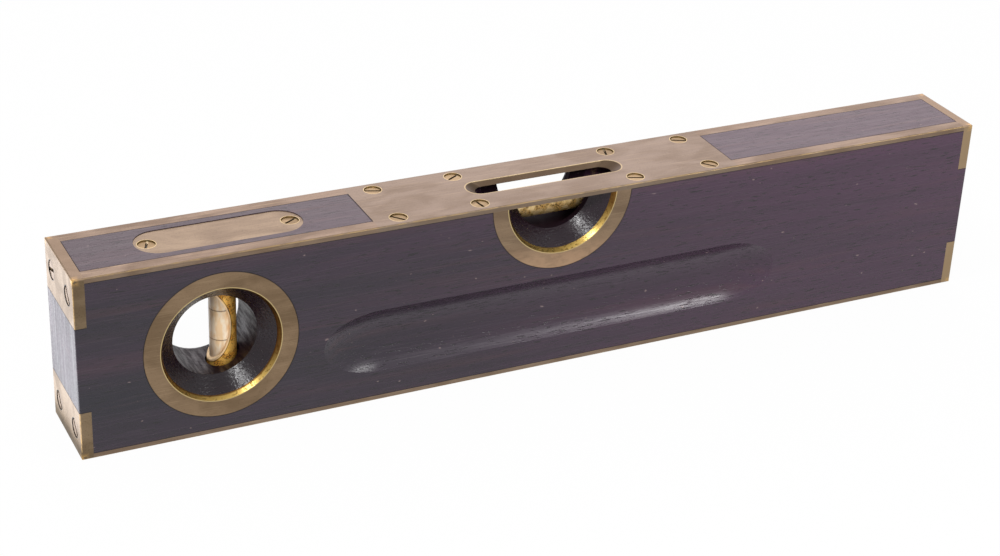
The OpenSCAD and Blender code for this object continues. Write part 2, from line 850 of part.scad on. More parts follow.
module plumb_foot_cap() {
    color(brass) translate([plumb_x, 0, plumb_foot_z]) {
        cylinder(r = tube_r, h = foot_t);
        cylinder(r = tube_ir - running / 2, h = foot_t + foot_spigot);
    }
}

module plumb_top_plug() {
    color(cork) translate([plumb_x, 0, plumb_top_z - plug_t])
        cylinder(r = tube_ir - running / 2, h = plug_t);
}

module plumb_vial_glass() {
    color(glass, 0.4) translate([plumb_x, 0, plumb_glass_z])
        vial_glass(plumb_glass_l, plumb_hole_z - plumb_glass_z);
}

module plumb_spirit() {
    color(spirit, 0.5) difference() {
        translate([plumb_x, 0, plumb_glass_z + glass_wall])
            cylinder(r = glass_ir, h = plumb_glass_l - 2 * glass_wall);
        translate([plumb_x, 0, plumb_bubble_z])
            bubble_shape(plumb_bubble_l, plumb_bubble_d, bubble_gap);
    }
}

module plumb_bubble() {
    color(air, 0.6) translate([plumb_x, 0, plumb_bubble_z])
        bubble_shape(plumb_bubble_l, plumb_bubble_d, 0);
}

// A plate on the pocket's floor, with a half round seat for each nub
module plumb_seat_plate() {
    color(brass) translate([plumb_x, 0, 0]) difference() {
        translate([0, 0, seat_z]) linear_extrude(seat_t) obround(seat_l, 2 * seat_r);
        translate([0, 0, seat_z - over]) cylinder(r = seat_hole_r, h = seat_t + 2 * over);
        translate([0, 0, rock_z]) rotate([90, 0, 0])
            cylinder(r = nub_r + running, h = 2 * stock_w, center = true);
        for (side = [-1, 1]) translate([side * adjust_arm, 0, seat_z - over])
            cylinder(d = adjust_shank_d + 2 * running, h = seat_t + 2 * over);
    }
}

module plumb_screw(side) {
    color(steel) translate([plumb_x + side * adjust_arm, 0, plumb_screw_z])
        adjusting_screw(plumb_screw_l, side * plumb_screw_slot_angle);
}

module plumb_washer(side) {
    color(brass) translate([plumb_x + side * adjust_arm, 0, plumb_washer_z]) washer();
}

module plumb_left_screw() { plumb_screw(-1); }
module plumb_right_screw() { plumb_screw(1); }
module plumb_left_washer() { plumb_washer(-1); }
module plumb_right_washer() { plumb_washer(1); }

stock();
top_plate();
top_plate_screws();
plumb_cover();
plumb_cover_screws();
front_top_left_strip();
front_top_right_strip();
back_top_left_strip();
back_top_right_strip();
front_bottom_strip();
back_bottom_strip();
left_top_tip();
left_bottom_tip();
right_top_tip();
right_bottom_tip();
left_tip_screws();
right_tip_screws();
plumb_ring_front();
plumb_ring_back();
level_ring_front();
level_ring_back();
level_vial_case();
level_pivot_cap();
level_lug_cap();
level_vial_glass();
level_spirit();
level_bubble();
level_pivot_bracket();
level_pivot_pin();
level_bracket_screw();
level_adjusting_screw();
level_adjusting_washer();
level_adjusting_spring();
plumb_vial_case();
plumb_rocker_flange();
plumb_foot_cap();
plumb_top_plug();
plumb_vial_glass();
plumb_spirit();
plumb_bubble();
plumb_seat_plate();
plumb_left_screw();
plumb_right_screw();
plumb_left_washer();
plumb_right_washer();
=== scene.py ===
# %% [markdown]
# # A brass bound plumb and level
#
# This lesson dresses a joiner's level: a rosewood block whose edges and ends are bound in brass.
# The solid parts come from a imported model, which stays as it is. What Blender adds is the
# finish of each surface, the wood screws, the vials' filling, the camera and the light.

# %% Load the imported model
import json
import math

import bmesh
import bpy
from mathutils import Matrix, Vector


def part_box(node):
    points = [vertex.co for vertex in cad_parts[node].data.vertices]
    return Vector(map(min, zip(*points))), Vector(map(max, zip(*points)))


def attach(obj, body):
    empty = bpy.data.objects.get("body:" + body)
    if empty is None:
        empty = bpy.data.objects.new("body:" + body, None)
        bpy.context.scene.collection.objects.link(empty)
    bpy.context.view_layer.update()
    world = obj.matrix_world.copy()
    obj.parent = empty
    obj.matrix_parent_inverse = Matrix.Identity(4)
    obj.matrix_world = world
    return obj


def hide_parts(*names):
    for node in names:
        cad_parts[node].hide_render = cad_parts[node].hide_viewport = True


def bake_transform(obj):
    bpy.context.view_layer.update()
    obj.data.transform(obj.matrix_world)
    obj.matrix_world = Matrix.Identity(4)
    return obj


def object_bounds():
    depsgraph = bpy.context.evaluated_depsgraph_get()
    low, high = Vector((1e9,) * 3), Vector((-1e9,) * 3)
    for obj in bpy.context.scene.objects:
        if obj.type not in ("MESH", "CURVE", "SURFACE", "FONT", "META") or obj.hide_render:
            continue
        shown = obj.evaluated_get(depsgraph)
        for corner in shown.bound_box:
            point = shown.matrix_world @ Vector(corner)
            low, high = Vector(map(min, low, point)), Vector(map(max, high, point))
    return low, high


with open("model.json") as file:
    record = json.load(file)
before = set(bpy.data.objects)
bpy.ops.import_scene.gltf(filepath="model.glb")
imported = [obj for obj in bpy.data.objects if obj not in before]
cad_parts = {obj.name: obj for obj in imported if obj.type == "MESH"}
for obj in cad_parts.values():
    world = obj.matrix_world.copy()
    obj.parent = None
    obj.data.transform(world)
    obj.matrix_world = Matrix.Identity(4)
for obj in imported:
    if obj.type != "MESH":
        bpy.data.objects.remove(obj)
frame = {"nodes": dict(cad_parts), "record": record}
CAD_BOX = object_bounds()
NODES = frame["nodes"]
HALF_LENGTH, HALF_WIDTH, HEIGHT = CAD_BOX[1]
MM = 0.001
print(f"the block is {2 * HALF_LENGTH:.4f} x {2 * HALF_WIDTH:.4f} x {HEIGHT:.4f} m")

# %% [markdown]
# ## Five helpers
#
# Colours are written as the hex values that a paint program shows, and a render works in linear
# light, so one function turns the first into the second. Another adds a shader or geometry node,
# sets it and links it in one go, which keeps a tree short enough to read. A third joins several
# values in a tree, such as the greatest of them or their product. The last two start a material
# and put an object in the scene.

# %% Helpers for colours, nodes, materials and objects
MATH = "ShaderNodeMath"


def linear(hex_colour):
    """A colour like "#aa8844" as linear red, green, blue and alpha."""
    parts = [int(hex_colour[i:i + 2], 16) / 255 for i in (1, 3, 5)]
    return [p / 12.92 if p <= 0.04045 else ((p + 0.055) / 1.055) ** 2.4 for p in parts] + [1.0]


def add_node(tree, kind, inputs=(), **settings):
    """Adds a node with its settings and links. The inputs are a list, in the order of the sockets
    in use, or a dictionary by name. A node among them is linked by its first output in use, a
    socket is linked as it is, a hex value is turned to a colour, and anything else is set."""
    made = tree.nodes.new(kind)
    for name, value in settings.items():
        setattr(made, name, value)
    sockets = [socket for socket in made.inputs if socket.enabled]
    if isinstance(inputs, dict):
        sockets = [made.inputs[name] for name in inputs]
        inputs = inputs.values()
    for socket, value in zip(sockets, inputs):
        if isinstance(value, bpy.types.Node):
            value = next(output for output in value.outputs if output.enabled)
        if isinstance(value, bpy.types.NodeSocket):
            tree.links.new(value, socket)
        elif str(value).startswith("#"):
            socket.default_value = linear(value)
        else:
            socket.default_value = value
    return made


def joined(tree, operation, first, *others):
    """Several values joined from left to right. Of masks, MAXIMUM is where any of them is, and
    MULTIPLY where all of them are."""
    for other in others:
        first = add_node(tree, MATH, [first, other], operation=operation)
    return first


def new_material(name):
    """An empty material and its node tree."""
    made = bpy.data.materials.new(name)
    made.use_nodes = True
    made.node_tree.nodes.clear()
    return made, made.node_tree


def add_object(name, data):
    made = bpy.data.objects.new(name, data)
    bpy.context.scene.collection.objects.link(made)
    return made


print(f"a middle grey, #808080, is {linear('#808080')[0]:.3f} in linear light")

# %% [markdown]
# ## The camera
#
# The level is seen from its front left, a little from above, through a long lens. The camera is
# placed by its bearing, its height angle and its distance from the point it looks at, and then
# it's rolled by a small angle, as a hand-set camera is.

# %% The camera
CAMERA_BEARING = math.radians(26.66)
CAMERA_ELEVATION = math.radians(27.77)
CAMERA_ROLL = math.radians(2.56)
CAMERA_DISTANCE = 0.680
CAMERA_TARGET = Vector((-0.0130, 0.0003, 0.0257))
CAMERA_LENS_MM = 78.05


def place_camera():
    forward = Vector((
        math.sin(CAMERA_BEARING) * math.cos(CAMERA_ELEVATION),
        math.cos(CAMERA_BEARING) * math.cos(CAMERA_ELEVATION),
        -math.sin(CAMERA_ELEVATION),
    ))
    level_right = forward.cross(Vector((0, 0, 1))).normalized()
    level_up = level_right.cross(forward)
    right = level_right * math.cos(CAMERA_ROLL) + level_up * math.sin(CAMERA_ROLL)
    up = right.cross(forward)
    data = bpy.data.cameras.new("camera")
    data.lens = CAMERA_LENS_MM
    data.clip_start = 0.01
    camera = add_object("camera", data)
    turn = Matrix((right, up, -forward)).transposed().to_4x4()
    camera.matrix_world = Matrix.Translation(CAMERA_TARGET - forward * CAMERA_DISTANCE) @ turn
    bpy.context.scene.camera = camera


place_camera()
print(f"the camera stands {CAMERA_DISTANCE} m from the level, with a {CAMERA_LENS_MM} mm lens")

# %% [markdown]
# ## The studio
#
# The level lies on a white sweep under soft light. A wide soft box hangs behind on the right,
# where the top faces mirror it. One on the left, above, lights the rings' bevels, one in front
# on the left draws the highlights in the turned wood of the holes, and one in front on the right
# draws the long highlight in the finger groove. A light table behind the left end makes that end
# pale. The sweep shows white wherever the camera or a reflection looks at it, so the lamps can
# stay gentle, and the rest of it is plain paint that takes the level's shadow.

# %% The floor, the sky and the lamps
FLOOR_SIZE = 40.0
FLOOR_DROP = 0.05 * MM
FLOOR_GLOW = 0.96
PAPER_WHITE = "#eaeaea"
SKY_LIGHT = 0.60
WHITE = "#ffffff"
BLOCK_MIDDLE = (0.0, 0.0, 0.03)
# name: (place, point aimed at, width, height, power in watts, tint)
LAMPS = {
    "back_softbox": ((0.60, 1.20, 0.76), BLOCK_MIDDLE, 1.30, 1.00, 5.3, "#fff0f6"),
    "left_softbox": ((-0.68, -0.07, 1.17), BLOCK_MIDDLE, 0.30, 0.30, 4.0, "#ffffff"),
    "front_left_softbox": ((-0.53, -0.74, 1.00), BLOCK_MIDDLE, 0.20, 0.20, 6.6, "#ffffff"),
    "front_right_softbox": ((0.70, -0.86, 0.77), BLOCK_MIDDLE, 0.16, 0.14, 2.1, "#ffffff"),
    "light_table": ((-0.355, 0.22, 0.002), (-0.355, 0.22, 1.0), 0.40, 0.50, 1.7, "#f8f8ff"),
}


def background_rays(tree):
    """1 for the rays that show the background: from the camera, off a gloss or through glass."""
    path = add_node(tree, "ShaderNodeLightPath").outputs
    return joined(tree, "MAXIMUM", path["Is Camera Ray"], path["Is Glossy Ray"],
                  path["Is Transmission Ray"])


def make_sky():
    world = bpy.data.worlds.new("white_sky")
    bpy.context.scene.world = world
    world.use_nodes = True
    tree = world.node_tree
    tree.nodes.clear()
    lit = add_node(tree, "ShaderNodeBackground", {"Color": WHITE, "Strength": SKY_LIGHT})
    seen = add_node(tree, "ShaderNodeBackground", {"Color": WHITE, "Strength": 1.0})
    both = add_node(tree, "ShaderNodeMixShader", [background_rays(tree), lit, seen])
    add_node(tree, "ShaderNodeOutputWorld", {"Surface": both})


def make_floor():
    half = FLOOR_SIZE / 2
    mesh = bpy.data.meshes.new("white_sweep")
    corners = [(-half, -half), (half, -half), (half, half), (-half, half)]
    mesh.from_pydata([(x, y, -FLOOR_DROP) for x, y in corners], [], [(0, 1, 2, 3)])
    floor = add_object("white_sweep", mesh)
    paper, tree = new_material("paper_matt_white")
    sheet = add_node(tree, "ShaderNodeBsdfDiffuse", {"Color": PAPER_WHITE})
    glow = add_node(tree, "ShaderNodeEmission", {"Color": WHITE, "Strength": 1.0})
    share = joined(tree, "MULTIPLY", background_rays(tree), FLOOR_GLOW)
    both = add_node(tree, "ShaderNodeMixShader", [share, sheet, glow])
    add_node(tree, "ShaderNodeOutputMaterial", {"Surface": both})
    mesh.materials.append(paper)


def make_lamp(name, place, target, width, height, power, tint):
    data = bpy.data.lights.new(name, "AREA")
    data.shape = "RECTANGLE"
    data.size = width
    data.size_y = height
    data.energy = power
    data.color = linear(tint)[:3]
    lamp = add_object(name, data)
    lamp.location = place
    lamp.rotation_mode = "QUATERNION"
    lamp.rotation_quaternion = (Vector(target) - Vector(place)).to_track_quat("-Z", "Y")
    lamp.visible_camera = False


make_sky()
make_floor()
for lamp_name, lamp_values in LAMPS.items():
    make_lamp(lamp_name, *lamp_values)
bpy.context.scene.view_settings.view_transform = "Standard"
print(f"{len(LAMPS)} soft lamps light the level")

# %% [markdown]
# ## Measures that the finishes follow
#
# A finish changes where pieces meet: dirt settles in the joints, and corners are rubbed bright.
# Both are worked out from the pieces' own boxes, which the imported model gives. Only the width of
# a ring's flat face, the depth of a sight hole's flare and the sizes of the screws' heads are
# written here, as no box shows them.

# %% Where the joints and the screws are
plate_low, plate_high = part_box("top_plate")
strip_low, strip_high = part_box("front_top_left_strip")
tip_low, tip_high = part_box("left_top_tip")
ring_low, ring_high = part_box("plumb_ring_front")
half_ring_low, half_ring_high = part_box("level_ring_front")
STRIP_WIDTH = strip_high.y - strip_low.y
STRIP_THICKNESS = strip_high.z - strip_low.z
TIP_THICKNESS = tip_high.x - tip_low.x
TIP_HEIGHT = tip_high.z - tip_low.z
PLATE_MIDDLE = (plate_low.x + plate_high.x) / 2
PLATE_HALF = (plate_high.x - plate_low.x) / 2
RING_RADIUS = (ring_high.x - ring_low.x) / 2
RING_FACE_WIDTH = 5.2 * MM
RING_FACE_RADIUS = RING_RADIUS - RING_FACE_WIDTH
FLARE_DEPTH = 6.3 * MM
PLUMB_HOLE = ((ring_low.x + ring_high.x) / 2, (ring_low.z + ring_high.z) / 2)
LEVEL_HOLE = ((half_ring_low.x + half_ring_high.x) / 2, half_ring_low.z + RING_RADIUS)
HEAD_RADIUS = 2.65 * MM
TIP_HEAD_RADIUS = 2.9 * MM
print(f"the rings are {RING_RADIUS * 2 / MM:.1f} mm across")


def screw_centres(node, head_radius, flat_axes):
    """Middle of a group of screws, and how far the outer ones' axes lie from it both ways."""
    low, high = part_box(node)
    middle = [(low[a] + high[a]) / 2 for a in flat_axes]
    reach = [(high[a] - low[a]) / 2 - head_radius for a in flat_axes]
    return middle, reach


PLATE_SCREWS = screw_centres("top_plate_screws", HEAD_RADIUS, (0, 1))
COVER_SCREWS = screw_centres("plumb_cover_screws", HEAD_RADIUS, (0, 1))
TIP_SCREWS = screw_centres("left_tip_screws", TIP_HEAD_RADIUS, (1, 2))

# %% [markdown]
# ## Small patterns shared by the finishes
#
# Every pattern reads Object coordinates, which are metres in the level's own frame. A Mapping
# node divides them by the size of one grain, so that a Noise node with a scale of 1 has grains
# of that size. A distance becomes a mask, which is 1 on a line and 0 past its width. Two more
# functions put the masks to use: `painted` lays colours over each other as a finisher would, and
# `shifted` moves a number such as the roughness up or down wherever a mask is.

# %% Pattern functions
RANGE = "ShaderNodeMapRange"
# A Map Range node takes a value, the two levels that it goes through, and what it gives at each.
# This setting makes it start and stop softly, as a worn patch does.
SOFT = {"interpolation_type": "SMOOTHSTEP"}


def coordinates(tree):
    """X, Y and Z of the point that is painted, as three sockets."""
    point = add_node(tree, "ShaderNodeTexCoord").outputs["Object"]
    return tuple(add_node(tree, "ShaderNodeSeparateXYZ", [point]).outputs)


def grains(tree, size, detail=3.0, distortion=0.0, offset=(0, 0, 0)):
    """Noise from 0 to 1 whose grains measure size, in metres, along X, Y and Z."""
    point = add_node(tree, "ShaderNodeTexCoord").outputs["Object"]
    scaled = add_node(tree, "ShaderNodeMapping", {
        "Vector": point, "Location": offset, "Scale": tuple(1 / s for s in size)})
    return add_node(tree, "ShaderNodeTexNoise", {
        "Vector": scaled, "Scale": 1.0, "Detail": detail, "Distortion": distortion})


def patches(tree, size, levels, shares=(0.0, 1.0), **noise):
    """Soft-edged patches: noise that goes through two levels turns into two shares."""
    return add_node(tree, RANGE, [grains(tree, size, **noise), *levels, *shares], **SOFT)


def from_value(tree, coordinate, value):
    """How far a coordinate is from a value."""
    apart = add_node(tree, MATH, [coordinate, value], operation="SUBTRACT")
    return add_node(tree, MATH, [apart], operation="ABSOLUTE")


def radius_from(tree, a, b, centre):
    """Distance from a point in the plane of the coordinates a and b."""
    across = add_node(tree, MATH, [a, centre[0]], operation="SUBTRACT")
    along = add_node(tree, MATH, [b, centre[1]], operation="SUBTRACT")
    square = add_node(tree, MATH, [along, along], operation="MULTIPLY")
    squares = add_node(tree, MATH, [across, across, square], operation="MULTIPLY_ADD")
    return add_node(tree, MATH, [squares], operation="SQRT")


def near(tree, width, *distances):
    """1 on the nearest of some lines, by the distances from them, and 0 past width from it."""
    nearest = joined(tree, "MINIMUM", *distances)
    return add_node(tree, RANGE, [nearest, 0.0, width, 1.0, 0.0], **SOFT)


def edge_distances(tree):
    """Distances from the block's nearest edge and from its nearest corner: the middle one and
    the greatest of the distances to its nearest end, side and flat face."""
    x, y, z = coordinates(tree)
    along = add_node(tree, MATH, [x], operation="ABSOLUTE")
    across = add_node(tree, MATH, [y], operation="ABSOLUTE")
    to_end = add_node(tree, MATH, [HALF_LENGTH, along], operation="SUBTRACT")
    to_side = add_node(tree, MATH, [HALF_WIDTH, across], operation="SUBTRACT")
    to_top = add_node(tree, MATH, [HEIGHT, z], operation="SUBTRACT")
    to_flat = joined(tree, "MINIMUM", z, to_top)
    less = joined(tree, "MINIMUM", to_end, to_side)
    more = joined(tree, "MAXIMUM", to_end, to_side)
    edge = joined(tree, "MAXIMUM", less, joined(tree, "MINIMUM", more, to_flat))
    return edge, joined(tree, "MAXIMUM", more, to_flat)


def painted(tree, ground, *layers):
    """Colours laid over a ground, one after another. A layer is its mask, how strongly it shows
    where the mask is full, and its colour."""
    for mask, strength, colour in layers:
        if strength < 1.0:
            mask = add_node(tree, MATH, [mask, strength], operation="MULTIPLY")
        ground = add_node(tree, "ShaderNodeMix", [mask, ground, colour], data_type="RGBA")
    return ground


def shifted(tree, number, *shifts):
    """A number that several masks change, each given with what it adds where it is full."""
    for mask, amount in shifts:
        number = add_node(tree, MATH, [mask, amount, number], operation="MULTIPLY_ADD")
    return number


print("the finishes share their grains, patches, distances, layers of colour and shifts")

# %% [markdown]
# ## Rosewood, oiled and hand polished
#
# Rosewood is a dense, oily wood, near black with purple and red-brown streaks. Its pores are
# open and show as short dark dashes along the grain, and as dots on the ends. A solid pattern
# gives both: the same noise is drawn out along X, so a face cut across X shows its dots. Hands
# have polished it to a satin, so most of what the eye sees is the pale room in its surface.
# Pores are drawn about twice as wide as real ones, because finer ones wouldn't show.
#
# The wood isn't the same all over. Its top is redder and duller, where hands have rubbed the oil
# off. Its ends are cut across the rings and shine in bands. The flares of the sight holes are
# turned and dark, with the lathe's marks, and the bores behind them were left raw from the
# drill. Dirt draws a dark line along every joint between wood and brass.

# %% The rosewood's sizes
FIGURE_SIZE = (240 * MM, 16 * MM, 16 * MM)
STREAK_SIZE = (110 * MM, 4 * MM, 4 * MM)
FIBRE_SIZE = (16 * MM, 0.55 * MM, 0.55 * MM)
PORE_SIZE = (4 * MM, 0.42 * MM, 0.42 * MM)
NICK_SIZE = (2.4 * MM, 1.4 * MM, 1.4 * MM)
LATHE_MARK_SIZE = (0.9 * MM, 0.9 * MM, 0.9 * MM)
END_RING_SIZE = (5 * MM, 0.9 * MM, 24 * MM)
DRILL_MARK_SIZE = (1.1 * MM, 7 * MM, 1.1 * MM)
WORN_DEPTH = 0.5 * MM
SAWN_DEPTH = 0.1 * MM
JOINT_WIDTH = 0.35 * MM
# The joint at the plate's left end has opened: distances from it count as this share of the
# real ones, so that its line is drawn wider.
OPEN_JOINT = 0.6
FLAT_DEPTH = 0.9 * STRIP_THICKNESS
PORE_RELIEF = {"Strength": 0.5, "Distance": 0.06 * MM}
print(f"a pore is drawn {PORE_SIZE[0] / MM:.0f} mm long and {PORE_SIZE[1] / MM:.2f} mm wide")


# %% Where the wood meets brass, and where it is turned
def joint_lines(tree):
    """Mask of the dark lines where the wood meets the strips, the plate, the tips and the rings."""
    x, y, z = coordinates(tree)
    along = add_node(tree, MATH, [x], operation="ABSOLUTE")
    across = add_node(tree, MATH, [y], operation="ABSOLUTE")
    from_top = add_node(tree, MATH, [HEIGHT, z], operation="SUBTRACT")
    from_flat = joined(tree, "MINIMUM", z, from_top)
    by_strip = from_value(tree, across, HALF_WIDTH - STRIP_WIDTH)
    by_plate_right = from_value(tree, x, PLATE_MIDDLE + PLATE_HALF)
    by_plate_left = from_value(tree, x, PLATE_MIDDLE - PLATE_HALF)
    by_plate = joined(tree, "MINIMUM", by_plate_right,
                      joined(tree, "MULTIPLY", by_plate_left, OPEN_JOINT))
    by_tip = from_value(tree, along, HALF_LENGTH - TIP_THICKNESS)
    on_flat = add_node(tree, MATH, [from_flat, FLAT_DEPTH], operation="LESS_THAN")
    at_end = add_node(tree, MATH, [along, HALF_LENGTH - TIP_THICKNESS], operation="GREATER_THAN")
    flat_lines = near(tree, JOINT_WIDTH, by_strip, by_plate, by_tip)
    side_lines = near(tree, JOINT_WIDTH, from_value(tree, from_flat, STRIP_THICKNESS))
    end_lines = near(tree, JOINT_WIDTH, from_value(tree, from_flat, TIP_HEIGHT))
    ring_lines = [
        near(tree, JOINT_WIDTH, from_value(tree, radius_from(tree, x, z, hole), RING_RADIUS))
        for hole in (PLUMB_HOLE, LEVEL_HOLE)]
    return joined(tree, "MAXIMUM", joined(tree, "MULTIPLY", flat_lines, on_flat), side_lines,
                  joined(tree, "MULTIPLY", end_lines, at_end), *ring_lines)


def in_holes(tree):
    """Masks of all the turned wood of the two sight holes, and of their raw bores."""
    x, y, z = coordinates(tree)
    radius = joined(tree, "MINIMUM", radius_from(tree, x, z, PLUMB_HOLE),
                    radius_from(tree, x, z, LEVEL_HOLE))
    inside = add_node(tree, MATH, [radius, RING_FACE_RADIUS], operation="LESS_THAN")
    across = add_node(tree, MATH, [y], operation="ABSOLUTE")
    deep = add_node(tree, MATH, [across, HALF_WIDTH - FLARE_DEPTH], operation="LESS_THAN")
    return inside, joined(tree, "MULTIPLY", inside, deep)


print(f"dirt reaches {JOINT_WIDTH / MM} mm to each side of a joint")


# %% The rosewood material
def rosewood():
    made, tree = new_material("rosewood_oiled_and_hand_polished")
    x, y, z = coordinates(tree)
    streak = grains(tree, STREAK_SIZE, 5.0, 0.9, (3.1, 0.4, 2.2))
    fibre = grains(tree, FIBRE_SIZE, 4.0, 0.2)
    pore = patches(tree, PORE_SIZE, (0.61, 0.70), detail=1.0)
    nick = patches(tree, NICK_SIZE, (0.76, 0.79), detail=1.0, offset=(0.7, 5.1, 1.9))
    worn = add_node(tree, MATH, [z, HEIGHT - WORN_DEPTH], operation="GREATER_THAN")
    inside, bore = in_holes(tree)
    lines = joint_lines(tree)

    figure = patches(tree, FIGURE_SIZE, (0.30, 0.70), (0.04, 0.32), distortion=0.6)
    rightwards = add_node(tree, RANGE, [x, -HALF_LENGTH, HALF_LENGTH], **SOFT)
    upwards = add_node(tree, RANGE, [z, 0.0, HEIGHT, 0.80, 1.05], **SOFT)
    purple = joined(tree, "MULTIPLY", shifted(tree, figure, (rightwards, 0.6)), upwards)
    red = add_node(tree, RANGE, [streak, 0.50, 0.74, 0.0, 0.15], **SOFT)
    red = joined(tree, "MULTIPLY", red, shifted(tree, 1.0, (worn, 1.5)))
    dark_streak = add_node(tree, RANGE, [streak, 0.26, 0.45, 0.3, 0.0], **SOFT)
    pale_fibre = add_node(tree, RANGE, [fibre, 0.45, 0.75, 0.0, 0.20], **SOFT)
    colour = painted(
        tree, "#16151f",
        (purple, 1.0, "#482b43"),
        (worn, 0.6, "#40242f"),
        (red, 1.0, "#5a3634"),
        (dark_streak, 1.0, "#171319"),
        (pale_fibre, 1.0, "#4a3f48"),
        (pore, 0.7, "#0b0809"),
        (nick, 0.6, "#8f7b78"),
        (inside, 0.75, "#180c10"),
        (lines, 1.0, "#070506"))

    lathe_marks = joined(tree, "MULTIPLY", grains(tree, LATHE_MARK_SIZE, 2.0), inside)
    height = shifted(tree, 0.0, (pore, -1.0), (fibre, 0.4), (lathe_marks, 3.0))
    relief = add_node(tree, "ShaderNodeBump", {"Height": height, **PORE_RELIEF})

    from_level = from_value(tree, x, LEVEL_HOLE[0])
    by_level = add_node(tree, MATH, [from_level, RING_RADIUS], operation="LESS_THAN")
    rawness = add_node(tree, RANGE, [by_level, 0.0, 1.0, 0.35, 1.0], **SOFT)
    dull = joined(tree, "MAXIMUM", lines, joined(tree, "MULTIPLY", bore, rawness))
    end_rings = patches(tree, END_RING_SIZE, (0.30, 0.70), (0.16, 0.28), distortion=0.3)
    along = add_node(tree, MATH, [x], operation="ABSOLUTE")
    sawn = add_node(tree, MATH, [along, HALF_LENGTH - SAWN_DEPTH], operation="GREATER_THAN")
    rough = add_node(tree, RANGE, [fibre, 0.3, 0.7, 0.20, 0.30], **SOFT)
    rough = shifted(tree, rough, (sawn, end_rings), (worn, 0.15), (dull, 0.45))

    drill_marks = patches(tree, DRILL_MARK_SIZE, (0.40, 0.66), (-0.16, 0.16), detail=4.0)
    by_plumb = add_node(tree, MATH, [1.0, by_level], operation="SUBTRACT")
    plumb_bore = joined(tree, "MULTIPLY", bore, by_plumb)
    # Turned wood, raw bores and dirty joints reflect less than the oiled faces do.
    gloss = shifted(tree, 0.5, (inside, -0.18), (dull, -0.25), (plumb_bore, drill_marks))
    shader = add_node(tree, "ShaderNodeBsdfPrincipled", {
        "Base Color": colour, "Roughness": rough, "Normal": relief, "IOR": 1.5,
        "Specular IOR Level": gloss})
    add_node(tree, "ShaderNodeOutputMaterial", {"Surface": shader})
    return made


ROSEWOOD = rosewood()
print(f"the rosewood's tree has {len(ROSEWOOD.node_tree.nodes)} nodes")

# %% [markdown]
# ## Brass in its several states
#
# Brass that has lived in different places looks different. The flat faces are dull and tan from
# handling, the rings have a browner, brushed face with a polished bevel inside, whose gold is
# partly a painted highlight, and the vials' tubes, which hands never reach, keep a brighter
# yellow under black stains. Each is brass at its own tint and roughness, with fine scratches,
# cloudy tarnish, and corners rubbed back to gold.
# Scratches are drawn 0.3 mm apart, wider than real ones, because finer ones wouldn't show.
#
# Then each piece has wear of its own, and some have painted light. The edges of the sunk screws'
# holes and of the sight slot are rubbed bright, and the slot's bevel is painted dark. The end
# tips are paler on top, dirt outlines their screws, and their corners are chipped to gold; their
# right end is painted paler still, as painted light where more light falls. A ring's bevel is
# brown with tarnish, with a painted highlight in gold, broken by chips, where it faces up; the
# pale line round its lip is partly a polished edge and partly a painted highlight; and the half
# ring's low part is rubbed pale.

# %% The brass finish's colours and sizes
GOLD = "#f0cb74"
LIP = "#d0ba84"
RUBBED = "#bb9c68"
# A dark brown for specks, dirty joints, and the painted shade in the screws' slots.
GRIME_AND_SHADE = "#2c2118"
SCRATCH_SIZE = (12 * MM, 0.30 * MM, 0.30 * MM)
CLOUD_SIZE = (16 * MM, 8 * MM, 8 * MM)
SPECK_SIZE = (0.5 * MM, 0.4 * MM, 0.4 * MM)
PATCH_SIZE = (3 * MM, 1.5 * MM, 1.5 * MM)
CHIP_SIZE = (1.1 * MM, 0.9 * MM, 1.1 * MM)
EDGE_WEAR = 0.5 * MM
# Corners are knocked more than edges, and their wear reaches further.
CORNER_WEAR = 2.6 * MM
RIM_WIDTH = 0.22 * MM
DIRT_WIDTH = 0.3 * MM
DIRT_OUTSIDE = 0.1 * MM
LIP_WIDTH = 0.24 * MM
# Half the sight slot's length and half its width, and how far outside them its rim is rubbed.
SLOT_HALF = (26.5 * MM, 4.35 * MM)
SLOT_RIM_OUTSIDE = 0.1 * MM
SLOT_RIM_WIDTH = 0.25 * MM
SLOT_BEVEL_DEPTH = 0.08 * MM
RING_BEVEL_START = (-0.05 * MM, 0.02 * MM)
# How far a ring's painted gold highlight on its bevel takes to fade out.
HIGHLIGHT_FADE = 0.5 * MM
RING_GRIME_WIDTH = 0.15 * MM
SCRATCH_RELIEF = {"Strength": 0.3, "Distance": 0.05 * MM}
print(f"edges are rubbed {EDGE_WEAR / MM} mm wide and corners {CORNER_WEAR / MM} mm")


# %% The wear of the plate, the cover and the tips, and the tips' painted light
def hole_rims(tree):
    """Mask of the bright rims round the sunk screws of the plate and the cover."""
    x, y, z = coordinates(tree)
    # The plate's screws stand at four places, so its length is folded twice on itself.
    (plate_x, plate_y), (reach_x, reach_y) = PLATE_SCREWS
    halved = from_value(tree, from_value(tree, x, plate_x), reach_x * 0.75)
    along = from_value(tree, halved, reach_x * 0.25)
    across = from_value(tree, from_value(tree, y, plate_y), reach_y)
    plate = radius_from(tree, along, across, (0, 0))
    (cover_x, cover_y), (reach_x, reach_y) = COVER_SCREWS
    along = from_value(tree, from_value(tree, x, cover_x), reach_x)
    cover = radius_from(tree, along, y, (0, cover_y))
    rim_radius = HEAD_RADIUS + RIM_WIDTH / 2
    return near(tree, RIM_WIDTH, from_value(tree, plate, rim_radius),
                from_value(tree, cover, rim_radius))


